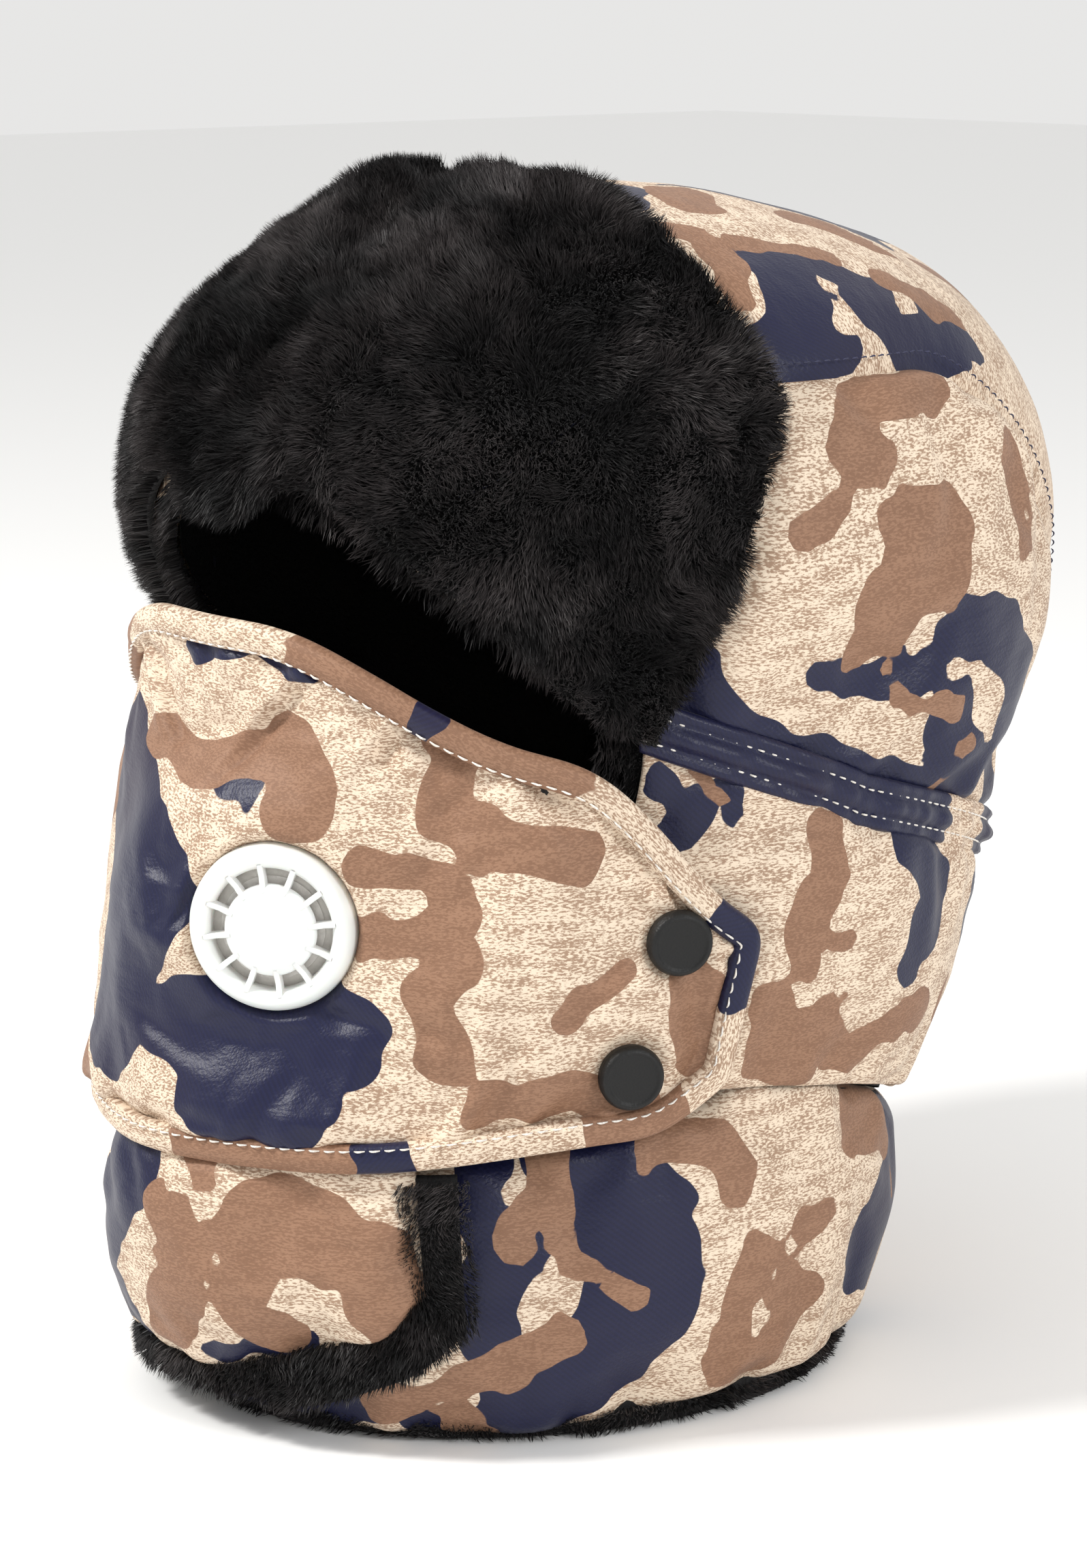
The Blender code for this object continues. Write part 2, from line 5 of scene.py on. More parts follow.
import bmesh
import bpy
import numpy as np
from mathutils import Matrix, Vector


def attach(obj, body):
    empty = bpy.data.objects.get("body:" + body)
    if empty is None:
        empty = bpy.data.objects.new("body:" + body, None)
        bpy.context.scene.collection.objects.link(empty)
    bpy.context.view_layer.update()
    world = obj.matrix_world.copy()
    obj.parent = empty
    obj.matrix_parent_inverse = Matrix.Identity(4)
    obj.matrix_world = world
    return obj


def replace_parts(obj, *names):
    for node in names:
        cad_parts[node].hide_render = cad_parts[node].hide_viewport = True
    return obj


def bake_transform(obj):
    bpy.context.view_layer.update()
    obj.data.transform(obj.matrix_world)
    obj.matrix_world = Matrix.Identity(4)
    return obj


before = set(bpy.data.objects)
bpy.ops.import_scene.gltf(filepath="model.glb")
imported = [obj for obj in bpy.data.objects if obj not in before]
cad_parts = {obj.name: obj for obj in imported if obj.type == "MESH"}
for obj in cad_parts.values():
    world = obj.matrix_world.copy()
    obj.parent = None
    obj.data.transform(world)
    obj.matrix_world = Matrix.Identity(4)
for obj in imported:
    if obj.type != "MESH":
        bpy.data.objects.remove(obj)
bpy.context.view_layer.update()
MM = 0.001

# ---------------------------------------------------------------- head form
EQUATOR, DOME_SPAN, DOME_RISE, DOME_FULLNESS, DOME_LEAN = 205.0, 120.0, 75.4, 2.15, 10.0
FORM = np.array((
    (0, 78.0, -104.0, 52.0, -13.0, 1.90),
    (28, 79.6, -107.0, 58.0, -12.0, 1.85),
    (60, 80.0, -112.0, 69.0, -10.0, 1.75),
    (80, 80.5, -114.0, 77.0, -8.0, 1.70),
    (103, 82.5, -108.0, 87.0, -5.0, 1.70),
    (123, 85.0, -102.0, 97.0, -2.0, 1.70),
    (143, 86.8, -96.0, 106.0, 1.0, 1.75),
    (168, 88.0, -91.0, 114.0, 7.0, 1.90),
    (205, 88.4, -93.4, 121.4, 14.0, 2.10),
))
FRAME_SHIFT = 1.3


def ease(x, low, high):
    s = np.clip((np.asarray(x, float) - low) / (high - low), 0, 1)
    return s * s * (3 - 2 * s)


def form_rows(level):
    level = np.clip(level, 0, EQUATOR)
    xs = FORM[:, 0]
    i = np.clip(np.searchsorted(xs, level, side="right") - 1, 0, len(xs) - 2)
    width = xs[i + 1] - xs[i]
    s = (level - xs[i]) / width
    out = []
    for c in range(1, 6):
        ys = FORM[:, c]
        m = np.empty(len(xs))
        m[1:-1] = (ys[2:] - ys[:-2]) / (xs[2:] - xs[:-2])
        m[0] = (ys[1] - ys[0]) / (xs[1] - xs[0])
        m[-1] = 0
        out.append((2 * s**3 - 3 * s**2 + 1) * ys[i] + (s**3 - 2 * s**2 + s) * width * m[i]
                   + (3 * s**2 - 2 * s**3) * ys[i + 1] + (s**3 - s**2) * width * m[i + 1])
    return out


def on_form(angle, level, offset):
    """Points in metres; every argument may be an array."""
    angle, level, offset = np.broadcast_arrays(*(np.asarray(v, float) for v in (angle, level, offset)))
    half, front, back, middle, fullness = form_rows(level)
    s, c = np.sin(np.radians(angle)), np.cos(np.radians(angle))
    ahead = c > 0
    n = np.where(ahead, fullness, 2.1)
    y = np.where(ahead, -(middle - front + offset), back - middle + offset) * np.abs(c) ** (2 / n)
    x = np.sign(s) * (half + offset) * np.abs(s) ** (2 / n)
    climb = np.radians(np.clip((level - EQUATOR) / DOME_SPAN, 0, 1) * 90)
    over = np.maximum(np.cos(climb), 0) ** (2 / DOME_FULLNESS)
    up = np.sin(climb) ** (2 / DOME_FULLNESS)
    z = np.where(level <= EQUATOR, level, EQUATOR + (DOME_RISE + offset) * up)
    return np.stack([x * over, middle + FRAME_SHIFT - DOME_LEAN * up + y * over, z], -1) * MM


def brow(angle):
    turn = np.abs((np.asarray(angle, float) + 180) % 360 - 180)
    front = 172 + 50 * np.maximum(np.cos(np.radians(90 * np.minimum(turn, 57) / 57)), 0) ** 1.2
    back = 110 + 62 * (1 - np.clip((turn - 57) / 123, 0, 1)) ** 1.45
    return np.where(turn < 57, front, back)


def seam(angle):
    turn = np.abs((np.asarray(angle, float) + 180) % 360 - 180)
    rise = ease(turn, 16, 62) * (1 - ease(turn, 100, 166))
    return brow(angle) + 6 + (242 - brow(angle) - 6) * rise


def fold(angle):
    turn = np.abs((np.asarray(angle, float) + 180) % 360 - 180)
    return 84 - 36 * ease(turn, 66, 180)


def mask_top(angle):
    turn = np.abs(angle)
    return 193 - 28 * ease(turn, 8, 50) - 40 * ease(turn, 46, 74)


def mask_bottom(angle):
    turn = np.abs(angle)
    return 72 + 6 * ease(turn, 30, 64) + 10 * ease(turn, 64, 72)


def wrap_top(angle):
    turn = np.abs(angle)
    low = mask_bottom(np.maximum(turn - 10, 0)) - 2.8
    return low + (fold(angle) - 1.6 - low) * ease(turn, 74, 84)


# ---------------------------------------------------------------- smooth noise
def noise3(points, scale, seed):
    """Value noise from -1 to 1 at an (n, 3) array."""
    table = np.random.default_rng(seed).uniform(-1, 1, 4096)
    p = np.asarray(points, float) * scale
    base = np.floor(p).astype(np.int64)
    f = p - base
    f = f * f * (3 - 2 * f)
    total = np.zeros(p.shape[:-1])
    for dx in (0, 1):
        for dy in (0, 1):
            for dz in (0, 1):
                key = (((base[..., 0] + dx) * 73856093) ^ ((base[..., 1] + dy) * 19349663)
                       ^ ((base[..., 2] + dz) * 83492791))
                w = ((f[..., 0] if dx else 1 - f[..., 0]) * (f[..., 1] if dy else 1 - f[..., 1])
                     * (f[..., 2] if dz else 1 - f[..., 2]))
                total += w * table[key % 4096]
    return total


# ---------------------------------------------------------------- materials
class Nodes:
    """Short calls for building one material."""

    def __init__(self, name):
        self.mat = bpy.data.materials.new(name)
        self.mat.use_nodes = True
        self.tree = self.mat.node_tree
        self.shader = self.tree.nodes["Principled BSDF"]

    def new(self, kind, **values):
        node = self.tree.nodes.new("ShaderNode" + kind)
        for key, value in values.items():
            setattr(node, key, value)
        return node

    def link(self, source, target):
        self.tree.links.new(source, target)

    def put(self, socket, value):
        if isinstance(value, bpy.types.NodeSocket):
            self.link(value, socket)
        elif value is not None:
            socket.default_value = value

    def math(self, operation, a, b=None, c=None, clamp=False):
        node = self.new("Math", operation=operation, use_clamp=clamp)
        for socket, value in zip(node.inputs, (a, b, c)):
            self.put(socket, value)
        return node.outputs[0]

    def vector(self, operation, a, b=None, scale=None):
        node = self.new("VectorMath", operation=operation)
        self.put(node.inputs[0], a)
        self.put(node.inputs[1], b)
        if scale is not None:
            self.put(node.inputs["Scale"], scale)
        return node.outputs[0]

    def attribute(self, name, output="Vector"):
        return self.new("Attribute", attribute_name=name).outputs[output]

    def noise(self, vector, scale, detail=2.0, roughness=0.5, distortion=0.0, output=0):
        node = self.new("TexNoise")
        self.put(node.inputs["Vector"], vector)
        for key, value in (("Scale", scale), ("Detail", detail), ("Roughness", roughness), ("Distortion", distortion)):
            self.put(node.inputs[key], value)
        return node.outputs[output]

    def step(self, value, low, high):
        node = self.new("MapRange", interpolation_type="SMOOTHSTEP")
        for socket, v in zip(node.inputs, (value, low, high)):
            self.put(socket, v)
        return node.outputs[0]

    def mix(self, factor, a, b):
        node = self.new("Mix", data_type="RGBA")
        self.put(node.inputs[0], factor)
        self.put(node.inputs[6], a)
        self.put(node.inputs[7], b)
        return node.outputs[2]

    def set(self, **values):
        for key, value in values.items():
            self.put(self.shader.inputs[key.replace("_", " ")], value)

    def bump(self, height, strength, distance):
        node = self.new("Bump")
        self.put(node.inputs["Height"], height)
        node.inputs["Strength"].default_value = strength
        node.inputs["Distance"].default_value = distance
        self.link(node.outputs[0], self.shader.inputs["Normal"])


CREAM, CREAM_DARK = (0.76, 0.63, 0.49, 1), (0.24, 0.125, 0.066, 1)
TAN, TAN_LIGHT = (0.215, 0.112, 0.066, 1), (0.36, 0.205, 0.128, 1)
NAVY, NAVY_LIGHT = (0.005, 0.006, 0.030, 1), (0.009, 0.012, 0.055, 1)


def camo(name, shift):
    """Printed polyester: navy and tan shapes over flecked cream; the shapes' own fields are in millimetres."""
    n = Nodes(name)
    rest = n.vector("ADD", n.attribute("rest"), shift)
    uv = n.attribute("UVMap")
    warp = n.noise(rest, 42.0, 1.0, 0.5, output=1)
    bent = n.vector("ADD", rest, n.vector("SCALE", n.vector("SUBTRACT", warp, (0.5, 0.5, 0.5)), scale=0.012))
    wander = n.math("MULTIPLY", n.math("SUBTRACT", n.noise(bent, 75.0, 1.0, 0.45), 0.5), 11.0)
    second = n.math("MULTIPLY", n.math("SUBTRACT", n.noise(n.vector("ADD", bent, (5, 2, 8)), 75.0, 1.0, 0.45), 0.5),
                    11.0)
    navy = n.step(n.math("ADD", n.attribute("navy", "Fac"), wander), -0.12, 0.12)
    tan = n.step(n.math("ADD", n.attribute("tan", "Fac"), second), -0.12, 0.12)
    # heather: short brown dashes along the cloth's width
    dash = n.noise(n.vector("MULTIPLY", uv, (900, 2300, 1)), 1.0, 2.0, 0.6)
    cloud = n.noise(n.vector("MULTIPLY", uv, (110, 300, 1)), 1.0, 2.0, 0.6)
    level = n.math("ADD", dash, n.math("MULTIPLY", n.math("SUBTRACT", cloud, 0.5), 0.38))
    dashes = n.step(level, 0.44, 0.58)
    cream = n.mix(n.math("MULTIPLY", dashes, 0.80), CREAM, CREAM_DARK)
    tan_colour = n.mix(n.math("MULTIPLY", dashes, 0.50), TAN, TAN_LIGHT)
    twill = n.new("TexWave", wave_type="BANDS", bands_direction="DIAGONAL")
    n.put(twill.inputs["Vector"], n.vector("MULTIPLY", uv, (1, 1, 0)))
    twill.inputs["Scale"].default_value = 420.0
    navy_colour = n.mix(n.math("MULTIPLY", twill.outputs["Fac"], 0.40), NAVY, NAVY_LIGHT)
    colour = n.mix(navy, cream, navy_colour)
    colour = n.mix(tan, colour, tan_colour)
    soft = n.noise(rest, 9.0, 2.0)
    colour = n.mix(n.math("MULTIPLY", n.step(soft, 0.45, 0.8), 0.12), colour, (0.20, 0.13, 0.09, 1))
    satin = n.math("MULTIPLY", navy, n.math("SUBTRACT", 1.0, tan))
    rough = n.math("ADD", 0.62, n.math("MULTIPLY", satin, -0.20))
    n.set(Base_Color=colour, Roughness=rough, Sheen_Weight=0.05, Sheen_Roughness=0.4, Specular_IOR_Level=0.34)
    weave = n.noise(n.vector("MULTIPLY", uv, (1500, 1500, 1)), 1.0, 2.0)
    pucker = n.noise(n.vector("MULTIPLY", uv, (60, 130, 1)), 1.0, 3.0, 0.55)
    n.bump(n.math("ADD", n.math("MULTIPLY", weave, 0.20), n.math("MULTIPLY", pucker, 1.0)), 0.42, 0.0016)
    return n.mat


def plain(name, colour, roughness, **more):
    n = Nodes(name)
    n.set(Base_Color=(*colour, 1), Roughness=roughness, **more)
    return n


def woven(name, dark, light, scale, roughness):
    """Two close shades in a fine, raised grain, for thread, tape and moulded rubber."""
    n = Nodes(name)
    grain = n.noise(n.new("TexCoord").outputs["Object"], scale, 3.0, 0.6)
    n.set(Base_Color=n.mix(n.step(grain, 0.38, 0.62), (*dark, 1), (*light, 1)), Roughness=roughness)
    n.bump(grain, 0.4, 0.0003)
    return n.mat


def fur_material(name, light):
    n = Nodes(name)
    # painted highlight: lighter patches from noise stand for the sheen on the pile's clumps
    clump_highlight = n.step(n.noise(n.attribute("rest"), 42.0, 3.0, 0.6), 0.36, 0.70)
    # near-black at each blade's root to the light tint at its tip: painted shade down in the pile, painted highlight
    # along the tips
    along = n.attribute("along", "Fac")
    colour = n.mix(n.math("MULTIPLY", along, clump_highlight), (0.0035, 0.003, 0.0035, 1), (*light, 1))
    n.set(Base_Color=colour, Roughness=0.52, Sheen_Weight=0.10, Sheen_Roughness=0.4, Specular_IOR_Level=0.38)
    return n.mat


CAMO = {key: camo("print_" + key, shift) for key, shift in (
    ("crown", (0.31, 0.12, 0.05)), ("centre", (0.9, 0.4, 0.2)), ("ear", (0.05, 0.61, 0.33)),
    ("neck", (0.52, 0.27, 0.71)), ("mask", (0.17, 0.83, 0.44)), ("trim", (0.77, 0.15, 0.9)))}
# the tip colour, lighter than the pile's own dark tone, is a painted highlight
FUR = fur_material("plush_fur", (0.085, 0.072, 0.072))
under = plain("plush_ground", (0.004, 0.0035, 0.004), 0.95)
under.bump(under.noise(under.attribute("rest"), 700.0, 3.0), 0.8, 0.002)
UNDER = under.mat
THREAD = woven("white_thread", (0.66, 0.62, 0.56), (0.84, 0.81, 0.76), 1800.0, 0.6)
DARK_THREAD = woven("navy_thread", (0.012, 0.014, 0.04), (0.03, 0.033, 0.08), 1800.0, 0.6)
snap = plain("black_grained_plastic", (0.008, 0.008, 0.008), 0.5, Specular_IOR_Level=0.3)
grain = snap.new("TexVoronoi")
snap.put(grain.inputs["Vector"], snap.attribute("rest"))
grain.inputs["Scale"].default_value = 1700.0
snap.bump(grain.outputs["Distance"], 0.25, 0.0003)
SNAP = snap.mat
valve = plain("white_moulded_plastic", (0.80, 0.79, 0.765), 0.34, Subsurface_Weight=0.12)
valve.bump(valve.noise(valve.attribute("rest"), 900.0, 2.0), 0.06, 0.0002)
VALVE = valve.mat
SEAT = woven("seat_plastic", (0.70, 0.68, 0.64), (0.76, 0.74, 0.70), 500.0, 0.5)
RUBBER = woven("valve_rubber", (0.58, 0.56, 0.53), (0.65, 0.63, 0.60), 700.0, 0.7)
lining = plain("brushed_lining", (0.018, 0.018, 0.020), 0.95, Sheen_Weight=0.2)
lining.bump(lining.noise(lining.attribute("rest"), 1400.0, 3.0), 0.5, 0.0006)
LINING = lining.mat
TAPE = woven("closure_tape", (0.010, 0.010, 0.012), (0.045, 0.045, 0.050), 1500.0, 0.95)


# ---------------------------------------------------------------- mesh helpers
def mesh_object(name, points, faces, material, rest=None, uv=None, extra=None, smooth=True):
    mesh = bpy.data.meshes.new(name)
    points = np.asarray(points, float)
    mesh.from_pydata(points.tolist(), [], faces if isinstance(faces, list) else faces.tolist())
    mesh.update()
    values = mesh.attributes.new("rest", "FLOAT_VECTOR", "POINT")
    values.data.foreach_set("vector", np.asarray(points if rest is None else rest, np.float32).ravel())
    for key, data in (extra or {}).items():
        mesh.attributes.new(key, "FLOAT", "POINT").data.foreach_set("value", np.asarray(data, np.float32))
    if uv is not None:
        layer = mesh.uv_layers.new(name="UVMap")
        loops = np.empty(len(mesh.loops), np.int32)
        mesh.loops.foreach_get("vertex_index", loops)
        layer.data.foreach_set("uv", np.asarray(uv, np.float32)[loops].ravel())
    if smooth:
        mesh.polygons.foreach_set("use_smooth", np.ones(len(mesh.polygons), bool))
    thing = bpy.data.objects.new(name, mesh)
    bpy.context.scene.collection.objects.link(thing)
    if material:
        mesh.materials.append(material)
    return thing


def grid_faces(nu, nv, ring=False):
    i = np.arange(nu if ring else nu - 1)
    j = np.arange(nv - 1)
    a = (i[:, None] * nv + j[None, :]).ravel()
    b = (((i + 1) % nu)[:, None] * nv + j[None, :]).ravel()
    return np.stack([a, b, b + 1, a + 1], -1)


def face_outward(thing, weld=0.0):
    """Turns every face outward, after joining points closer than weld metres."""
    bm = bmesh.new()
    bm.from_mesh(thing.data)
    if weld:
        bmesh.ops.remove_doubles(bm, verts=bm.verts, dist=weld)
    bmesh.ops.recalc_face_normals(bm, faces=bm.faces)
    bm.to_mesh(thing.data)
    bm.free()


# The print's larger shapes: a half width in mm, then the (angle, level) points its stroke runs through.
# On the visible side most of the points were worked out from places on the photographed cloth.
PRINT_OUT = 14.0
NAVY_STROKES = {
    "mask": ((15, (-22, 150), (-8, 128), (-12, 100)), (11, (6, 104), (20, 98), (29, 103)), (9, (16, 88), (26, 87)),
             (4, (3, 160), (10, 157)), (4, (-2, 186), (8, 191), (17, 186)), (12, (-50, 120), (-38, 96))),
    "crown": ((5, (79, 181), (88, 178), (95, 178)), (8, (98, 188), (104, 187), (114, 172), (115, 155)),
              (7, (98, 170), (103, 156), (112, 146)), (9, (60, 182), (68, 166), (75, 160), (92, 149), (102, 143)),
              (9, (140, 190), (150, 160), (164, 150)), (8, (130, 225), (138, 205))),
    "centre": ((9, (88, 272), (87, 260), (84, 250), (78, 246)), (5, (97, 268), (103, 260)),
               (7, (98, 257), (101, 248), (110, 244)), (5, (112, 253), (117, 243)), (5, (76, 244), (90, 246)),
               (10, (140, 262), (160, 245)), (9, (178, 215), (170, 240)), (9, (60, 300), (75, 312))),
    "ear": ((5, (59, 158), (63, 152), (62, 146)), (3, (68, 158), (70, 148)), (7, (99, 136), (107, 124), (107, 112)),
            (4, (104, 116), (104, 105)), (9, (130, 110), (142, 88)), (7, (165, 100), (175, 75))),
    "neck": ((6, (47, 72), (45, 60), (51, 50)), (13, (58, 69), (65, 54), (67, 40), (62, 26), (52, 14)),
             (8, (47, 44), (46, 32)), (6, (4, 3), (22, 6), (28, 10)), (7, (38, 4), (52, 3)),
             (10, (-4, 66), (-14, 52), (-18, 34), (-12, 24)), (3, (10, 23), (24, 28)),
             (10, (112, 30), (124, 50)), (11, (150, 20), (165, 40))),
    "trim": ((5, (30, 177), (34, 174)), (8, (69, 124), (70, 115)), (7, (31, 77), (36, 78)),
             (9, (60, 176), (75, 156), (92, 142), (104, 135)), (9, (128, 124), (160, 114))),
}
TAN_STROKES = {
    "mask": ((5, (-10, 161), (2, 160), (16, 166)), (7, (14, 168), (18, 152)), (5, (34, 170), (34, 154), (41, 146),
                                                                               (50, 145)),
             (3, (27, 142), (35, 140), (39, 131)), (5, (29, 126), (36, 128), (40, 121), (38, 113), (41, 98)),
             (5, (46, 89), (55, 91), (62, 88)), (7, (66, 111), (67, 98)), (2, (52, 108), (57, 119)),
             (5, (-28, 88), (-18, 80)), (6, (-46, 150), (-34, 160), (-30, 140))),
    "crown": ((6, (100, 237), (88, 236), (83, 226), (87, 223)), (3, (80, 217), (75, 212)),
              (7, (88, 213), (96, 211), (94, 198), (85, 198)), (6, (88, 194), (84, 184)),
              (4, (112, 222), (114, 211), (111, 203)), (2, (88, 182), (92, 171), (100, 168), (104, 176)),
              (4, (104, 158), (103, 146)), (6, (132, 180), (140, 170), (136, 160)), (6, (160, 215), (166, 200))),
    "centre": ((4, (70, 287), (80, 283), (79, 268), (78, 260)), (3, (86, 280), (102, 270)), (3, (108, 262), (118, 250)),
               (8, (125, 285), (130, 268)), (7, (150, 228), (160, 222)), (8, (95, 300), (110, 306))),
    "ear": ((3, (64, 161), (66, 155)), (5, (82, 144), (84, 134), (81, 122), (82, 111)), (3, (84, 119), (90, 116)),
            (7, (79, 104), (82, 90), (88, 86)), (6, (89, 100), (94, 86)), (5, (97, 86), (103, 92), (111, 92)),
            (7, (122, 90), (128, 76)), (6, (150, 118), (160, 108))),
    "neck": ((6, (8, 58), (8, 40), (2, 26)), (9, (20, 58), (30, 57), (35, 47), (38, 36)), (5, (20, 48), (17, 36),
                                                                                           (22, 31)),
             (4, (13, 71), (14, 66)), (5, (54, 73), (54, 62), (50, 53)), (3, (55, 57), (57, 46), (64, 39)),
             (5, (56, 30), (48, 22), (40, 17), (31, 11)), (5, (44, 3), (41, 12)),
             (6, (66, 72), (75, 70), (78, 62)), (5, (82, 43), (79, 30), (80, 15), (87, 13)), (4, (92, 47), (96, 48)),
             (4, (89, 31), (94, 29), (90, 22)), (8, (105, 66), (116, 60)), (7, (135, 60), (140, 40))),
    "trim": ((6, (17, 187), (28, 181)), (6, (36, 171), (50, 152)), (6, (12, 77), (29, 76)), (5, (60, 80), (67, 81)),
             (6, (-40, 160), (-20, 180))),
}


def stroke_field(points, strokes):
    """How far inside the nearest stroke each point is, in millimetres."""
    best = np.full(len(points), -40.0)
    spare = 0.5
    for half, *line in strokes:
        line = np.array(line, float)
        s = np.linspace(0, len(line) - 1, 10 * (len(line) - 1) + 1)
        angle, level = (np.interp(s, range(len(line)), line[:, k]) for k in (0, 1))
        path = on_form(angle, level, PRINT_OUT)
        for place in path:
            best = np.maximum(best, half + spare - np.linalg.norm(points - place, axis=1) / MM)
    return best


def print_fields(key, angle, level):
    """The same cloth carries on round the far side, turned over, and round the back, slid along and down."""
    angle = (np.ravel(angle) + 180) % 360 - 180
    level = np.ravel(level)
    place = on_form(angle, level, PRINT_OUT)
    window = angle + 9 * noise3(place, 28.0, 77)
    moved = angle.copy()
    far, back_left, back_right = (window <= -45) & (window > -122), window >= 126, window <= -122
    moved[far] = 6 - angle[far]
    moved[back_left] = angle[back_left] - 68
    moved[back_right] = angle[back_right] + 236
    base = {"centre": seam, "neck": fold, "mask": mask_bottom}.get(key, brow)
    slide = base(moved) - base(angle)
    if key == "centre":
        top = EQUATOR + DOME_SPAN
        slide = (top - level) * (1 - (top - base(moved)) / (top - base(angle)))
    place = on_form(moved, level + slide - 10 * far, PRINT_OUT)
    return {"navy": stroke_field(place, NAVY_STROKES[key]), "tan": stroke_field(place, TAN_STROKES[key])}


def camo_patch(name, key, t0, t1, low, high, offset, cell, lift=None, shape=on_form):
    """An open grid of cloth over the form, which keeps its grid size as a property."""
    middle = (t0 + t1) / 2
    span = np.linalg.norm(on_form(middle, (low(middle) + high(middle)) / 2, offset)[:2])
    length = abs(math.radians(t1 - t0)) * span / MM
    t = np.linspace(t0, t1, max(int(length / cell), 6) + 1)
    nv = max(int(np.max(high(t) - low(t)) / cell), 5) + 1
    v = np.linspace(0, 1, nv)
    T, V = np.meshgrid(t, v, indexing="ij")
    L = low(T) + (high(T) - low(T)) * V
    out = offset + (lift(T) if lift else 0.0)
    points = shape(T, L, out).reshape(-1, 3)
    uv = np.stack([np.radians(T) * span, L * MM], -1).reshape(-1, 2)
    thing = mesh_object(name, points, grid_faces(len(t), nv), CAMO[key], points, uv, print_fields(key, T, L))
    thing["grid"] = (len(t), nv)
    return thing


SIMULATED = []
CLOTH_FRAMES, CLOTH_GROWTH = 14, 0.05


def simulate(thing, pressure, cap):
    """Queues a piece for the cloth run: its border is sewn down, and the rest is a little too big for it."""
    nu, nv = thing["grid"]
    index = np.arange(nu * nv).reshape(nu, nv)
    weight = np.zeros(nu * nv)
    for k, w in ((0, 1.0), (1, 0.25)):
        for line in (index[k], index[-1 - k], index[:, k], index[:, -1 - k]):
            weight[line] = np.maximum(weight[line], w)
    group = thing.vertex_groups.new(name="sewn")
    for w in (1.0, 0.25):
        group.add(np.flatnonzero(weight == w).tolist(), w, "REPLACE")
    cloth = thing.modifiers.new("cloth", "CLOTH")
    settings = cloth.settings
    settings.quality = 5
    settings.mass = 0.25
    settings.tension_stiffness = 18
    settings.compression_stiffness = 14
    settings.shear_stiffness = 6
    settings.bending_stiffness = 0.35
    settings.air_damping = 4
    settings.tension_damping = 20
    settings.compression_damping = 20
    settings.vertex_group_mass = "sewn"
    settings.pin_stiffness = 1.0
    settings.shrink_min = -CLOTH_GROWTH
    settings.use_pressure = pressure > 0
    settings.uniform_pressure_force = pressure
    settings.effector_weights.gravity = 0
    cloth.collision_settings.use_collision = False
    cloth.point_cache.frame_end = CLOTH_FRAMES + 1
    thing["cap"] = cap
    SIMULATED.append(thing)


def run_cloth():
    """Runs every queued piece, and limits how far its points move."""
    scene = bpy.context.scene
    scene.frame_start, scene.frame_end = 1, CLOTH_FRAMES + 1
    for frame_number in range(1, CLOTH_FRAMES + 1):
        scene.frame_set(frame_number)
    bpy.context.view_layer.update()
    depsgraph = bpy.context.evaluated_depsgraph_get()
    for thing in SIMULATED:
        before = coordinates(thing)
        after = coordinates(thing.evaluated_get(depsgraph))
        move = after - before
        size = np.linalg.norm(move, axis=1, keepdims=True)
        cap = thing["cap"] * MM
        move *= cap * np.tanh(size / cap) / np.maximum(size, 1e-9)
        thing.modifiers.clear()
        thing.vertex_groups.clear()
        set_coordinates(thing, before + move)
    scene.frame_set(1)


def coordinates(thing):
    flat = np.empty(len(thing.data.vertices) * 3)
    thing.data.vertices.foreach_get("co", flat)
    return flat.reshape(-1, 3)


def set_coordinates(thing, points):
    thing.data.vertices.foreach_set("co", np.asarray(points, float).ravel())
    thing.data.update()


def grid_normals(points, nu, nv):
    g = points.reshape(nu, nv, 3)
    n = np.cross(np.gradient(g, axis=0), np.gradient(g, axis=1))
    if (n * (g - (0, 0.01, 0.12))).sum() < 0:
        n = -n
    return (n / np.maximum(np.linalg.norm(n, axis=2, keepdims=True), 1e-12)).reshape(-1, 3)


def puff(thing, height, reach, tuck=1.0, free=(), wrinkle=0.0, seed=1, scale=55.0):
    """Pads a patch: full in the middle, drawn down at its sewn borders, with small puckers along them."""
    nu, nv = thing["grid"]
    points = coordinates(thing)
    g = points.reshape(nu, nv, 3)
    along = np.concatenate([np.zeros((1, nv)), np.cumsum(np.linalg.norm(np.diff(g, axis=0), axis=2), axis=0)])
    up = np.concatenate([np.zeros((nu, 1)), np.cumsum(np.linalg.norm(np.diff(g, axis=1), axis=2), axis=1)], axis=1)
    gaps = []
    for side, gap in (("start", along), ("end", along[-1:] - along), ("low", up), ("high", up[:, -1:] - up)):
        if side not in free:
            gaps.append(gap)
    gap = np.minimum.reduce(gaps) / MM if gaps else np.full((nu, nv), 99.0)
    full = 1 - np.exp(-gap / reach)
    pucker = (noise3(points, scale, seed).reshape(nu, nv)
              + 0.5 * noise3(points, scale * 2.3, seed + 1).reshape(nu, nv))
    near = np.exp(-gap / (reach * 1.2)) * ease(gap, 0, 4)
    stretched = np.stack([along / MM / 7.5, up / MM / 30, 0 * up], -1).reshape(-1, 3)
    gather = noise3(stretched, 1.0, seed + 2).reshape(nu, nv)
    edge = np.minimum(up, up[:, -1:] - up) / MM
    gather = gather * np.exp(-edge / 14.0) * ease(edge, 0, 3)
    rise = (height * full - tuck * np.exp(-gap / 2.5) + wrinkle * (0.40 * full + 0.9 * near) * pucker
            + 1.1 * wrinkle * gather)
    line, where = noise3(points, 24.0, seed + 30).reshape(nu, nv), noise3(points, 31.0, seed + 40).reshape(nu, nv)
    rise -= 0.75 * wrinkle * full * np.exp(-(line / 0.085) ** 2) * ease(where, -0.15, 0.35)
    normal = grid_normals(points, nu, nv)
    set_coordinates(thing, points + normal * (rise.reshape(-1, 1) * MM))


def finish_cloth(thing, thickness=0.0, levels=1):
    if thickness:
        skin = thing.modifiers.new("thickness", "SOLIDIFY")
        skin.thickness = thickness * MM
        skin.offset = -1
    if levels:
        smooth = thing.modifiers.new("smooth", "SUBSURF")
        smooth.levels = smooth.render_levels = levels


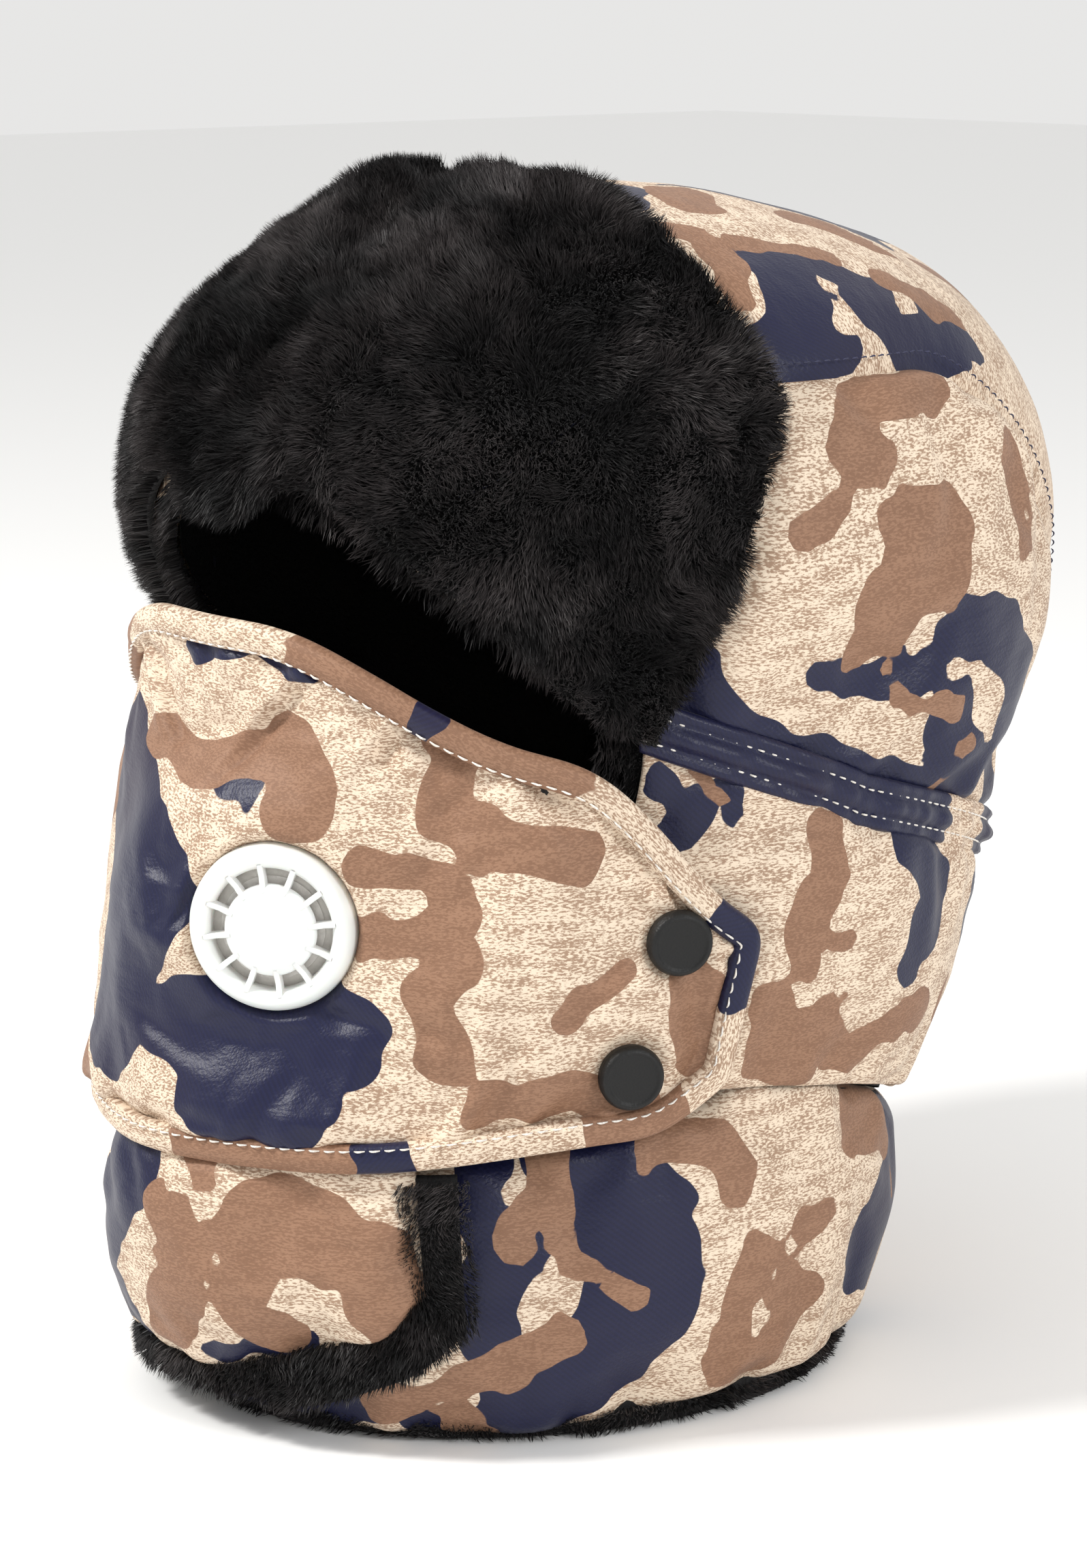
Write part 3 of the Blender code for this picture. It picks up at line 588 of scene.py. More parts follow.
def apply_all(thing):
    bpy.context.view_layer.update()
    evaluated = thing.evaluated_get(bpy.context.evaluated_depsgraph_get())
    mesh = bpy.data.meshes.new_from_object(evaluated, preserve_all_data_layers=True,
                                           depsgraph=bpy.context.evaluated_depsgraph_get())
    thing.modifiers.clear()
    thing.data = mesh
    return thing


def frames_of(angle, level, offset, shape=on_form):
    """Points on the form with their outward normal and their upward direction along it."""
    at = shape(angle, level, offset)
    along = shape(angle + 0.4, level, offset) - shape(angle - 0.4, level, offset)
    up = shape(angle, level + 0.8, offset) - shape(angle, level - 0.8, offset)
    normal = np.cross(along, up)
    return at, normal / np.linalg.norm(normal, axis=-1, keepdims=True), up / np.linalg.norm(up, axis=-1, keepdims=True)


# ---------------------------------------------------------------- padded shells
OUT = 11.6  # the crown cloth's height off the form
WRAP_STEP = 11.9  # how far the outside chin wrap stands off the inside one
VALVE_OUT = 19.8
pieces = {}
for side, name in ((1, "left"), (-1, "right")):
    pieces["crown_" + name] = camo_patch("crown_side_cloth_" + name, "crown", *sorted((side * 17, side * 163)),
                                         lambda a: brow(a) + 4.2, seam, OUT, cell=3.4)
    pieces["ear_" + name] = camo_patch("ear_cloth_" + name, "ear", *sorted((side * 56.5, side * 180)),
                                       lambda a: fold(a) - 0.4, lambda a: brow(a) - 4.2, 12.0, cell=3.4)


def outside_step(angle):
    return WRAP_STEP * ease(angle, -38, -9)


def left_hem(angle):
    return 0.8 + 3.4 * ease(angle, 48, 80)


def right_hem(angle):
    return 3.0 + 12 * ease(angle, -70, 0) + 15 * ease(angle, 2, 40) + 9 * ease(angle, 31, 40) ** 2


def right_fur_low(angle):
    return 1.5 + 9 * ease(angle, -70, 0) + 14 * ease(angle, 18, 46) + 9 * ease(angle, 33, 46) ** 2


def neck_top(angle):
    return wrap_top(angle) + 3.4 - 2.6 * ease(np.abs(angle), 92, 112)


pieces["neck_left"] = camo_patch("neck_cloth_left", "neck", -4, 180, left_hem, neck_top, 8.6, cell=3.4)
pieces["neck_right"] = camo_patch("neck_cloth_right", "neck", -180, 40, right_hem, neck_top, 8.6, cell=3.4,
                                  lift=outside_step)

VALVE_TURN = math.radians(38)
VALVE_AXIS = np.array((math.sin(VALVE_TURN), -math.cos(VALVE_TURN), 0))
VALVE_AT = on_form(18, 126, VALVE_OUT)


def on_mask(angle, level, offset):
    point = on_form(angle, level, offset)
    away = point - VALVE_AT
    along = away @ VALVE_AXIS
    reach = np.linalg.norm(away - along[..., None] * VALVE_AXIS, axis=-1) / MM
    flat = 1 - ease(reach, 21, 46)
    return point + VALVE_AXIS * (flat * ((offset - VALVE_OUT) * MM - along))[..., None]


pieces["mask"] = camo_patch("mask_cloth", "mask", -70.4, 70.4, lambda a: mask_bottom(a) + 3.6,
                            lambda a: mask_top(a) - 4.0, 19.0, cell=1.8, shape=on_mask)

t = np.linspace(0, 360, 181)[:-1]
v = np.linspace(0, 1, 34)
T, V = np.meshgrid(t, v, indexing="ij")
L = seam(T) + (EQUATOR + DOME_SPAN - 0.4 - seam(T)) * V
points = on_form(T, L, OUT - 5.5 * ease(L, 250, 300)).reshape(-1, 3)
from_top = (EQUATOR + DOME_SPAN - L) / DOME_SPAN * 0.145
uv = np.stack([from_top * np.sin(np.radians(T)), from_top * np.cos(np.radians(T))], -1).reshape(-1, 2)
centre = mesh_object("crown_centre_cloth", points, grid_faces(len(t), len(v), True), CAMO["centre"], points, uv,
                     print_fields("centre", T, L))
centre["grid"] = (len(t), len(v))
pieces["centre"] = centre

# Sewn folds running down from the mask's top edge beside the nose: (angle, level) ends, depth in mm
DARTS = (((17, 183), (1, 151), 3.0), ((29, 174), (17, 140), 2.6), ((-17, 183), (-4, 156), 2.4),
         ((-29, 174), (-17, 142), 2.4),
         ((40, 165), (33, 150), 1.4), ((6, 138), (2, 120), 1.2), ((38, 150), (52, 128), 1.0), ((44, 118), (64, 116),
                                                                                               1.2),
         ((34, 104), (58, 100), 1.0), ((-8, 104), (24, 88), 1.2), ((30, 118), (44, 96), 1.2), ((60, 130), (50, 140),
                                                                                               1.2))


def crease(thing, lines, shape):
    """Presses a groove along each line, steep on one side, with the spare cloth heaped beside it."""
    nu, nv = thing["grid"]
    points = coordinates(thing)
    normal = grid_normals(points, nu, nv)
    move = np.zeros(len(points))
    for (t0, l0), (t1, l1), depth in lines:
        s = np.linspace(0, 1, 30)
        path = shape(t0 + (t1 - t0) * s, l0 + (l1 - l0) * s, 20.0)
        away = points[:, None] - path[None]
        gap = np.linalg.norm(away, axis=2) / MM
        nearest = gap.argmin(axis=1)
        gap = gap.min(axis=1)
        way = path[-1] - path[0]
        beside = np.cross(way / np.linalg.norm(way), normal)
        offside = ((points - path[nearest]) * beside).sum(1) / MM
        fade = 1 - s[nearest] ** 2 * 0.8
        move -= 1.2 * depth * fade * np.exp(-(gap / 1.6) ** 2)
        move += 0.9 * depth * fade * np.exp(-((offside - 3.4) / 2.4) ** 2 - ((gap**2 - offside**2).clip(0) / 16))
    set_coordinates(thing, points + normal * (move * MM)[:, None])


# Padding: height, reach, tuck, sides that aren't sewn, wrinkle depth and seed, and the wrinkle's scale if it differs
PADDING = {
    "crown_left": (2.6, 13, 1.8, (), 1.5, 3),
    "crown_right": (2.6, 13, 1.8, (), 1.5, 3),
    "ear_left": (1.6, 9, 1.2, ("end",), 1.6, 7),
    "ear_right": (1.6, 9, 1.2, ("start",), 1.6, 7),
    "neck_left": (2.6, 11, 4.2, ("end",), 2.2, 11),
    "neck_right": (2.6, 11, 4.2, ("start",), 2.2, 11),
    "mask": (2.2, 7, 1.0, (), 3.2, 15, 42.0),
    "centre": (1.6, 12, 1.8, ("start", "end", "high"), 1.1, 17),
}
for key, padding in PADDING.items():
    puff(pieces[key], *padding)
# The cloth run: pressure, and how far in mm a point may move. The centre panel isn't simulated.
for key, pressure, limit in (("crown_left", 0.6, 5), ("crown_right", 0.6, 5), ("ear_left", 0.4, 4),
                             ("ear_right", 0.4, 4), ("neck_left", 0.4, 5), ("neck_right", 0.4, 4), ("mask", 0.3, 4)):
    simulate(pieces[key], pressure, limit)
run_cloth()

FLAP_END = 76.0


def flap_low(angle):
    turn = np.abs(angle)
    lobe = 12 * np.exp(-((turn - 2) / 7.0) ** 2)
    return np.where(turn < 58, brow(angle) + 3 - lobe - 7 * ease(turn, 38, 50), 169 + (turn - 58) * 3.7)


def flap_rear(angle):
    return 240 + 62 * (1 - (np.minimum(np.abs(angle), FLAP_END) / FLAP_END) ** 8)


def under_flap(points):
    """1 where the flap's pile lies over the cloth, easing to 0 around it."""
    p = points / MM
    level = np.where(p[:, 2] < EQUATOR, p[:, 2], EQUATOR + DOME_SPAN / 90 * np.degrees(np.arcsin(
        np.clip((p[:, 2] - EQUATOR) / (DOME_RISE + 12), 0, 1) ** (DOME_FULLNESS / 2))))
    angle = np.degrees(np.arctan2(np.abs(p[:, 0]), -(p[:, 1] - 8)))
    within = np.minimum(level - flap_low(angle) + 4, flap_rear(angle) - 3 - level)
    inside = np.minimum((FLAP_END - 2 - angle) * 1.4, within)
    return ease(inside, -1.0, 6.0)


for key in ("crown_left", "crown_right", "centre"):
    points = coordinates(pieces[key])
    normal = grid_normals(points, *pieces[key]["grid"])
    inward = np.where((normal * (points - (0, 0.01, 0.19))).sum(1) > 0, 1.0, -1.0)
    set_coordinates(pieces[key], points - normal * (inward * under_flap(points) * 5.0 * MM)[:, None])
crease(pieces["mask"], DARTS, on_mask)


def press(thing, centre, axis, radius, margin, depth):
    """Holds the cloth down to a depth under a round part that is fixed through it."""
    points = coordinates(thing)
    away = points - centre
    along = away @ axis
    reach = np.linalg.norm(away - along[:, None] * axis, axis=1) / MM
    down = 1 - ease(reach, radius, radius + margin)
    points += axis * (down * (np.minimum(along, depth * MM) - along))[:, None]
    set_coordinates(thing, points)


press(pieces["mask"], VALVE_AT, VALVE_AXIS, 18.4, 2.5, -3.0)
SNAPS = ((63.0, 123.5, "upper"), (61.0, 92.5, "lower"))
for side in (1, -1):
    for angle, level, which in SNAPS:
        at, normal, up = (x[0] for x in frames_of(np.array([side * angle]), np.array([level]), 19.2))
        press(pieces["mask"], at, normal, 6.5, 6.0, 0.0)
        press(pieces["ear_left" if side > 0 else "ear_right"], at - normal * 7.2 * MM, normal, 5.4, 5.0, 0.0)

BODY = {"crown_left": "crown", "crown_right": "crown", "ear_left": "crown", "ear_right": "crown",
        "centre": "crown", "mask": "mask"}
STANDS_FOR = {
    "crown_left": ("crown_side_left",), "crown_right": ("crown_side_right",), "ear_left": ("ear_shell_left",),
    "ear_right": ("ear_shell_right",), "centre": ("crown_centre_panel",), "mask": ("mask_shell",),
    "neck_left": ("chin_wrap_left_shell",), "neck_right": ("chin_wrap_right_shell", "skirt_shell"),
}
THICK = {"mask": 1.4, "neck_left": 1.6, "neck_right": 1.6, "ear_left": 1.4, "ear_right": 1.4}
for key, thing in pieces.items():
    finish_cloth(thing, THICK.get(key, 0.0), 1)
    apply_all(thing)
    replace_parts(thing, *STANDS_FOR[key])
    if key in BODY:
        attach(thing, BODY[key])
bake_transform(pieces["neck_left"])
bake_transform(pieces["neck_right"])


# ---------------------------------------------------------------- strips and stitches
def resample(path, step):
    path = np.asarray(path, float)
    length = np.concatenate([[0], np.cumsum(np.linalg.norm(np.diff(path, axis=0), axis=1))])
    count = max(int(length[-1] / step), 2)
    at = np.linspace(0, length[-1], count + 1)
    return np.stack([np.interp(at, length, path[:, k]) for k in range(3)], -1)


def stitches(name, lines, normals, body, material, length=2.6, gap=1.0, radius=0.28):
    """Rows of short thread capsules along the lines, sunk a little at both ends."""
    points, faces = [], []
    for line, normal in zip(lines, normals):
        path = resample(line, 0.0005)
        out = np.stack([np.interp(np.linspace(0, 1, len(path)), np.linspace(0, 1, len(normal)), normal[:, k])
                        for k in range(3)], -1)
        out /= np.linalg.norm(out, axis=1, keepdims=True)
        period = int((length + gap) / 0.5)
        size = int(length / 0.5)
        for start in range(0, len(path) - period, period):
            ring_at = np.linspace(start, start + size, 5).astype(int)
            first = len(points)
            for k, i in enumerate(ring_at):
                forward = path[min(i + 1, len(path) - 1)] - path[max(i - 1, 0)]
                forward /= max(np.linalg.norm(forward), 1e-9)
                across = np.cross(forward, out[i])
                bend = (0.55, 0.95, 1.0, 0.95, 0.55)[k]
                sink = (-0.35, 0.05, 0.18, 0.05, -0.35)[k]
                for a in range(5):
                    angle = 2 * math.pi * a / 5
                    points.append(path[i] + out[i] * sink * MM
                                  + (across * math.cos(angle) + out[i] * math.sin(angle)) * radius * bend * MM)
            for k in range(4):
                for a in range(5):
                    p, q = first + k * 5 + a, first + k * 5 + (a + 1) % 5
                    faces.append((p, q, q + 5, p + 5))
            faces.append(tuple(first + a for a in reversed(range(5))))
            faces.append(tuple(first + 20 + a for a in range(5)))
    thing = mesh_object(name, points, faces, material)
    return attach(thing, body) if body else thing


def strip(name, where, centre_line, normal, across, profile, key, body, ruche=0.0, seed=1, closed=False,
          nodes=()):
    """A band swept along a line; the profile is (across, out) in millimetres, and ruching swells it unevenly."""
    count, size = len(centre_line), len(profile)
    profile = np.asarray(profile, float)
    swell = 1 + ruche * noise3(centre_line, 150.0, seed) + 0.6 * ruche * noise3(centre_line, 330.0, seed + 1)
    points = (centre_line[:, None] + across[:, None] * (profile[None, :, :1] * MM)
              + normal[:, None] * (profile[None, :, 1:] * swell[:, None, None] * MM)).reshape(-1, 3)
    faces = []
    for i in range(count if closed else count - 1):
        a, b = i * size, (i + 1) % count * size
        faces += [(a + k, b + k, b + (k + 1) % size, a + (k + 1) % size) for k in range(size)]
    if not closed:
        faces += [tuple(range(size)), tuple(reversed(range((count - 1) * size, count * size)))]
    length = np.concatenate([[0], np.cumsum(np.linalg.norm(np.diff(centre_line, axis=0), axis=1))])
    uv = np.stack([np.repeat(length, size), np.tile(profile[:, 0] * MM, count)], -1)
    fields = print_fields(key, *(np.repeat(w, size) for w in where))
    thing = mesh_object(name, points, faces, CAMO[key], points, uv, fields)
    face_outward(thing)
    finish_cloth(thing, 0, 1)
    apply_all(thing)
    if nodes:
        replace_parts(thing, *nodes)
    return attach(thing, body)


ANGLES = np.linspace(56.5, 303.5, 260)
at, normal, up = frames_of(ANGLES, brow(ANGLES), 11.0)
forward = np.gradient(at, axis=0)
forward /= np.linalg.norm(forward, axis=1, keepdims=True)
across = np.cross(normal, forward)
HALF = ((-6.6, -1.5), (-6.4, 1.2), (-5.0, 2.3), (-3.4, 1.5), (-2.6, 1.5), (-1.4, 2.9), (0.0, 3.3), (1.4, 2.9), (2.6,
                                                                                                                1.5),
        (3.4, 1.5), (5.0, 2.3), (6.4, 1.2), (6.6, -1.5))
strip("casing_band", (ANGLES, brow(ANGLES)), at, normal, across, HALF, "trim", "crown", 0.55, 21, False,
      ("elastic_casing", "rear_elastic"))
line_a, line_b = at + across * 3.0 * MM + normal * 1.6 * MM, at - across * 3.0 * MM + normal * 1.6 * MM
stitches("casing_stitches", (line_a, line_b), (normal, normal), "crown", THREAD, 2.4, 1.1, 0.26)

for side, name in ((1, "left"), (-1, "right")):
    a = side * np.linspace(20, 160, 120)
    p, n, u = frames_of(a, seam(a) + 2.6, OUT + 2.0)
    stitches("seam_stitches_" + name, (p,), (n * side,), "crown", DARK_THREAD, 2.4, 0.9, 0.22)

# ---------------------------------------------------------------- mask binding
a_bottom = np.linspace(-71, 71, 110)
a_top = a_bottom[::-1]
span = np.linspace(0, 1, 22)[1:-1]
END_LOW, END_HIGH = float(mask_bottom(72.0)), float(mask_top(72.0))
edge_angle = np.concatenate([a_bottom, np.full(20, 71.4), a_top, np.full(20, -71.4)])
edge_level = np.concatenate([mask_bottom(a_bottom) + 2.4, END_LOW + (END_HIGH - END_LOW) * span,
                             mask_top(a_top) - 2.4, END_HIGH - (END_HIGH - END_LOW) * span])
at, normal, up = frames_of(edge_angle, edge_level, 19.0, on_mask)
for _ in range(3):
    at = (at + np.roll(at, 1, 0) + np.roll(at, -1, 0)) / 3
    normal = normal + np.roll(normal, 1, 0) + np.roll(normal, -1, 0)
    normal /= np.linalg.norm(normal, axis=1, keepdims=True)
forward = np.roll(at, -1, 0) - np.roll(at, 1, 0)
forward /= np.linalg.norm(forward, axis=1, keepdims=True)
across = np.cross(forward, normal)
BAND = ((-3.6, -0.6), (-3.7, 1.5), (-2.7, 2.6), (0.0, 3.0), (2.4, 2.6), (3.5, 1.2), (3.6, -0.8), (2.6, -2.2),
        (0.0, -2.6), (-2.6, -2.4))
strip("mask_binding_band", (edge_angle, edge_level), at, normal, across, BAND, "trim", "mask", 0.14, 31, True,
      ("mask_binding",))
closed = np.concatenate([at, at[:1]])
closed_n = np.concatenate([normal, normal[:1]])
closed_a = np.concatenate([across, across[:1]])
stitches("binding_stitches", (closed - closed_a * 2.5 * MM + closed_n * 2.85 * MM,), (closed_n,), "mask", THREAD,
         2.6, 1.0, 0.26)

# ---------------------------------------------------------------- linings
LINING_STEP = 2.0  # degrees between rows


def lining_patch(name, t0, t1, low, high, offset, material, ring=False, lift=None, shape=on_form, nv=24):
    """The dark ground under a lining's pile, slightly uneven."""
    t = np.arange(t0, t1 - 1e-6, LINING_STEP) if ring else np.append(np.arange(t0, t1, LINING_STEP), t1)
    v = np.linspace(0, 1, nv)
    T, V = np.meshgrid(t, v, indexing="ij")
    L = low(T) + (high(T) - low(T)) * V
    points = shape(T, L, offset + (lift(T) if lift else 0.0)).reshape(-1, 3)
    normal = grid_normals(points, len(t), nv)
    points = points + normal * (noise3(points, 90.0, 41)[:, None] * 0.9 * MM)
    return mesh_object(name, points, grid_faces(len(t), nv, ring), material, points)


crown_in = lining_patch("crown_fur_ground", 0, 360, lambda a: brow(a) + 2, lambda a: 324.5 + 0 * a, 4.6, UNDER, True,
                        nv=40)
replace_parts(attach(crown_in, "crown"), "crown_lining", "crown_wadding")
for side, name in ((1, "left"), (-1, "right")):
    ear_in = lining_patch("ear_fur_ground_" + name, *sorted((side * 55.0, side * 180.0)), lambda a: fold(a) - 0.6,
                          lambda a: brow(a) + 4, 6.2, UNDER)
    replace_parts(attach(ear_in, "crown"), "ear_lining_" + name)
left_in = lining_patch("neck_fur_ground_left", -3.5, 180.0, lambda a: 0.8 + 0 * a, wrap_top, 4.8, UNDER)
right_in = lining_patch("neck_fur_ground_right", -180.0, 44.0,
                        lambda a: right_fur_low(a) - 0.7, wrap_top, 3.6, UNDER,
                        lift=outside_step)
for thing, side in ((left_in, "left"), (right_in, "right")):
    ground = thing.modifiers.new("thickness", "SOLIDIFY")
    ground.thickness = 2.4 * MM
    ground.offset = 0
    apply_all(thing)
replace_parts(left_in, "chin_wrap_left_lining")
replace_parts(right_in, "chin_wrap_right_lining", "skirt_lining")
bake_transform(left_in)
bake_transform(right_in)
mask_in = lining_patch("mask_inner_fabric", -71.5, 71.5, lambda a: mask_bottom(a) + 0.5, lambda a: mask_top(a) - 0.5,
                       16.2, LINING, shape=on_mask)
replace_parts(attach(mask_in, "mask"), "mask_lining")


# ---------------------------------------------------------------- fur
def fur(name, angle, level, offset, length, lean, seed, width=0.34, spread=0.5, comb=(0, 0, -1)):
    """Plush pile: one bent, tapered blade at each root, combed along one way and tangled by noise."""
    local = np.random.default_rng(seed)
    root, normal, up = frames_of(angle, level, offset)
    count = len(root)
    tangle = np.stack([noise3(root, 45.0, 300 + k) for k in range(3)], -1)
    tuft = np.stack([noise3(root, 190.0, 305 + k) for k in range(3)], -1)
    way = np.asarray(comb, float) * lean + tangle * 0.60 + tuft * 0.60 + local.normal(0, 0.16, (count, 3))
    way -= normal * (way * normal).sum(1, keepdims=True) * 0.8
    tall = length * (0.85 + 0.16 * noise3(root, 120.0, 309) + local.uniform(-0.14, 0.10, count))[:, None] * MM
    direction = normal + way * spread
    direction /= np.linalg.norm(direction, axis=1, keepdims=True)
    end = normal * 0.75 + way * (spread + 0.55)
    end /= np.linalg.norm(end, axis=1, keepdims=True)
    turn = np.cross(direction, local.normal(0, 1, (count, 3)))
    turn /= np.maximum(np.linalg.norm(turn, axis=1, keepdims=True), 1e-9)
    half = turn * (width * 0.5 * local.uniform(0.8, 1.25, (count, 1))) * MM
    middle = root + direction * tall * 0.55
    tip = middle + end * tall * 0.5
    points = np.stack([root - half, root + half, middle - half * 0.8, middle + half * 0.8, tip], 1).reshape(-1, 3)
    first = np.arange(count) * 5
    quads = np.stack([first, first + 1, first + 3, first + 2], -1)
    tips = np.stack([first + 2, first + 3, first + 4], -1)
    # colour ramp from root (0) to tip (1): painted shade at the root and painted highlight at the tip; the per-blade
    # tint is random tone
    along = np.tile((0.0, 0.0, 0.55, 0.55, 1.0), count)
    tint = np.repeat(local.uniform(0.55, 1.0, count), 5)
    points[:, 2] = np.maximum(points[:, 2], 0.3 * MM)
    rest = np.repeat(root, 5, axis=0)
    return mesh_object(name, points, quads.tolist() + tips.tolist(), FUR, rest, None, {"along": along * tint}, False)


def cell_area(t, level, offset):
    """Square millimetres of the form in one degree by one level."""
    du = np.linalg.norm(on_form(t + 0.5, level, offset) - on_form(t - 0.5, level, offset), axis=1)
    dv = np.linalg.norm(on_form(t, level + 0.5, offset) - on_form(t, level - 0.5, offset), axis=1)
    return du * dv / MM**2


ROOT_OUT, AREA_SAMPLES = 12.0, 4000


def scatter(density, t0, t1, low, high, seed):
    """Random roots over a region at an even density per square millimetre."""
    local = np.random.default_rng(seed)
    grid_t = np.linspace(t0, t1, 60)
    lows, highs = low(grid_t), high(grid_t)
    l0, l1 = float(np.min(lows)), float(np.max(highs))
    t, level = local.uniform(t0, t1, AREA_SAMPLES), local.uniform(l0, l1, AREA_SAMPLES)
    most = float(cell_area(t, level, ROOT_OUT).max())
    tries = int(most * (t1 - t0) * (l1 - l0) * density)
    t, level = local.uniform(t0, t1, tries), local.uniform(l0, l1, tries)
    keep = (local.uniform(0, most, tries) < cell_area(t, level, ROOT_OUT)) & (level > low(t)) & (level < high(t))
    return t[keep], level[keep]


def flap_offset(angle, level):
    """The folded pile's height off the form: thick, creased up the middle, dented where it lies in folds."""
    point = on_form(angle, level, 12)
    base = 14.6 + 1.4 * noise3(point, 16.0, 51) + 0.9 * noise3(point, 38.0, 52) - 3.5 * ease(level, 226, 262) * (
        1 - ease(level, 276, 298)) * (1 - ease(angle, 10, 40)) + 1.5 * ease(level, 280, 300)
    crease = np.exp(-((angle - 2 + 0.03 * (level - 250)) / 7.0) ** 2) * ease(level, 215, 235)
    edge = np.minimum(level - flap_low(angle), (flap_rear(angle) - level) * 1.2)
    roll = 1 - np.exp(-np.maximum(edge, 0) / 4.0)
    return 12.4 + (base - 12.4) * roll - 4.0 * crease


def flap_ground(name, t0, t1):
    t = np.linspace(t0, t1, 60)
    v = np.linspace(0, 1, 48)
    T, V = np.meshgrid(t, v, indexing="ij")
    L = flap_low(T) + (flap_rear(T) - flap_low(T)) * V
    points = on_form(T, L, flap_offset(T, L)).reshape(-1, 3)
    thing = mesh_object(name, points, grid_faces(60, 48), UNDER, points)
    finish_cloth(thing, 1.8, 0)
    return apply_all(thing)


def flap_backing(name, t0, t1):
    """The printed cloth behind the pile, seen when the flap is lifted."""
    T, V = np.meshgrid(np.linspace(t0, t1, 40), np.linspace(0, 1, 36), indexing="ij")
    L = flap_low(T) + 1.0 + (flap_rear(T) - flap_low(T) - 2.0) * V
    points = on_form(T, L, flap_offset(T, L) - 2.2).reshape(-1, 3)
    uv = np.stack([np.radians(T) * 0.1, L * MM], -1).reshape(-1, 2)
    fields = print_fields("crown", 80 - T, L - 45)
    return mesh_object(name, points, grid_faces(40, 36), CAMO["centre"], points, uv, fields)


for side, name in ((1, "left"), (-1, "right")):
    t0, t1 = sorted((0.0, side * FLAP_END))
    ground = flap_ground("flap_ground_" + name, t0, t1)
    piles = []
    for part in range(3):
        a, l = scatter(2.0, t0, t1, flap_low, flap_rear, 60 + side + 10 * part)
        piles.append(fur(f"flap_fur_{name}_{part}", a, l, flap_offset(a, l) - 0.4, 7.4, 0.22, 70 + side + 5 * part,
                         0.30, 0.36))
    backing = flap_backing("flap_backing_cloth_" + name, t0, t1)
    for thing in (ground, backing, *piles):
        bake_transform(thing)
    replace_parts(ground, "temple_fur_" + name, *(("front_flap_fur",) if side > 0 else ()))
    if side > 0:
        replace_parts(backing, "front_flap_backing")


def edge_fur(name, angle, level, offset, length, seed, body=None, blend=None, comb=(0, 0, -1), lean=0.4,
             spread=0.5, width=0.40):
    thing = fur(name, angle, level, offset, length, lean, seed, width, spread, comb=comb)
    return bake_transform(thing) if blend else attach(thing, body)


LEFT_BLEND = ("crown", "wrap_left", (0.086, 0.022, 0.04), (0.086, -0.040, 0.04))
RIGHT_BLEND = ("crown", "wrap_right", (-0.086, 0.022, 0.04), (-0.086, -0.040, 0.04))


# the outside wrap's pile beyond its shell: along its end and its hem
a, l = scatter(4.5, 37.5, 45.5, right_fur_low, wrap_top, 81)
edge_fur("wrap_end_fur", a, l, 6.4 + WRAP_STEP, 4.6, 82, None, RIGHT_BLEND, (0.2, 0.1, -0.3), 0.3,
         0.35, 0.28)
a, l = scatter(4.5, -60.0, 44.0, right_fur_low, lambda t: right_hem(t) + 3, 83)
edge_fur("wrap_hem_fur", a, l, 6.2 + outside_step(a), 4.8, 84, None, RIGHT_BLEND, (0, 0, -1), 0.5,
         0.4, 0.28)
# the hem's pile under the inside wrap and round the neck
a, l = scatter(2.2, -3.5, 178.0, lambda t: 0.9 + 0 * t, lambda t: 6.0 + 0 * t, 85)
edge_fur("hem_fur_left", a, l, 5.4, 4.0, 86, None, LEFT_BLEND, (0, 0, -0.2), 0.3)
a, l = scatter(2.2, -178.0, -50.0, lambda t: 0.9 + 0 * t, lambda t: 6.0 + 0 * t, 87)
edge_fur("hem_fur_right", a, l, 5.4, 4.0, 88, None, RIGHT_BLEND, (0, 0, -0.2), 0.3)
# the ear linings' pile along the face opening, and the brow lining under the flap
for side, name in ((1, "left"), (-1, "right")):
    t0, t1 = sorted((side * 51.0, side * 60.0))
    a, l = scatter(2.2, t0, t1, lambda t: 84 + 0 * t, lambda t: 172 + 0 * t, 90 + side)
    edge_fur("ear_edge_fur_" + name, a, l, 5.5, 6.0, 92 + side, "crown", None, (0, -0.6, -0.3), 0.9)
a, l = scatter(1.6, -62.0, 62.0, lambda t: brow(t) - 3, lambda t: brow(t) + 5, 95)
edge_fur("brow_fur", a, l, 6.0, 7.0, 96, "crown", None, (0, -0.2, -1), 0.9)


# ---------------------------------------------------------------- snaps and valve
def turned(name, profile, centre, axis, material, segments=64):
    """A lathe body; the profile is (radius, along) from the top of the axis down, in millimetres."""
    profile = np.asarray(profile, float)
    count = len(profile)
    angle = np.linspace(0, 2 * math.pi, segments, endpoint=False)
    ring = np.stack([np.outer(np.cos(angle), profile[:, 0]), np.outer(np.sin(angle), profile[:, 0]),
                     np.tile(profile[:, 1], (segments, 1))], -1).reshape(-1, 3) * MM
    facing = np.array(Vector(axis).to_track_quat("Z", "Y").to_matrix())
    points = ring @ facing.T + np.asarray(centre)
    thing = mesh_object(name, points, grid_faces(segments, count, True), material, points)
    face_outward(thing, 0.000005)
    return thing


def rounded(profile, radius=0.35, steps=3):
    """The same profile with its inner corners cut round."""
    out = [profile[0]]
    for before, here, after in zip(profile[:-2], profile[1:-1], profile[2:]):
        b, h, a = (np.asarray(p, float) for p in (before, here, after))
        r1 = min(radius, np.linalg.norm(b - h) * 0.45)
        r2 = min(radius, np.linalg.norm(a - h) * 0.45)
        start = h + (b - h) / max(np.linalg.norm(b - h), 1e-9) * r1
        end = h + (a - h) / max(np.linalg.norm(a - h), 1e-9) * r2
        for k in range(steps + 1):
            s = k / steps
            out.append(tuple((1 - s) ** 2 * start + 2 * s * (1 - s) * h + s**2 * end))
    out.append(profile[-1])
    return out


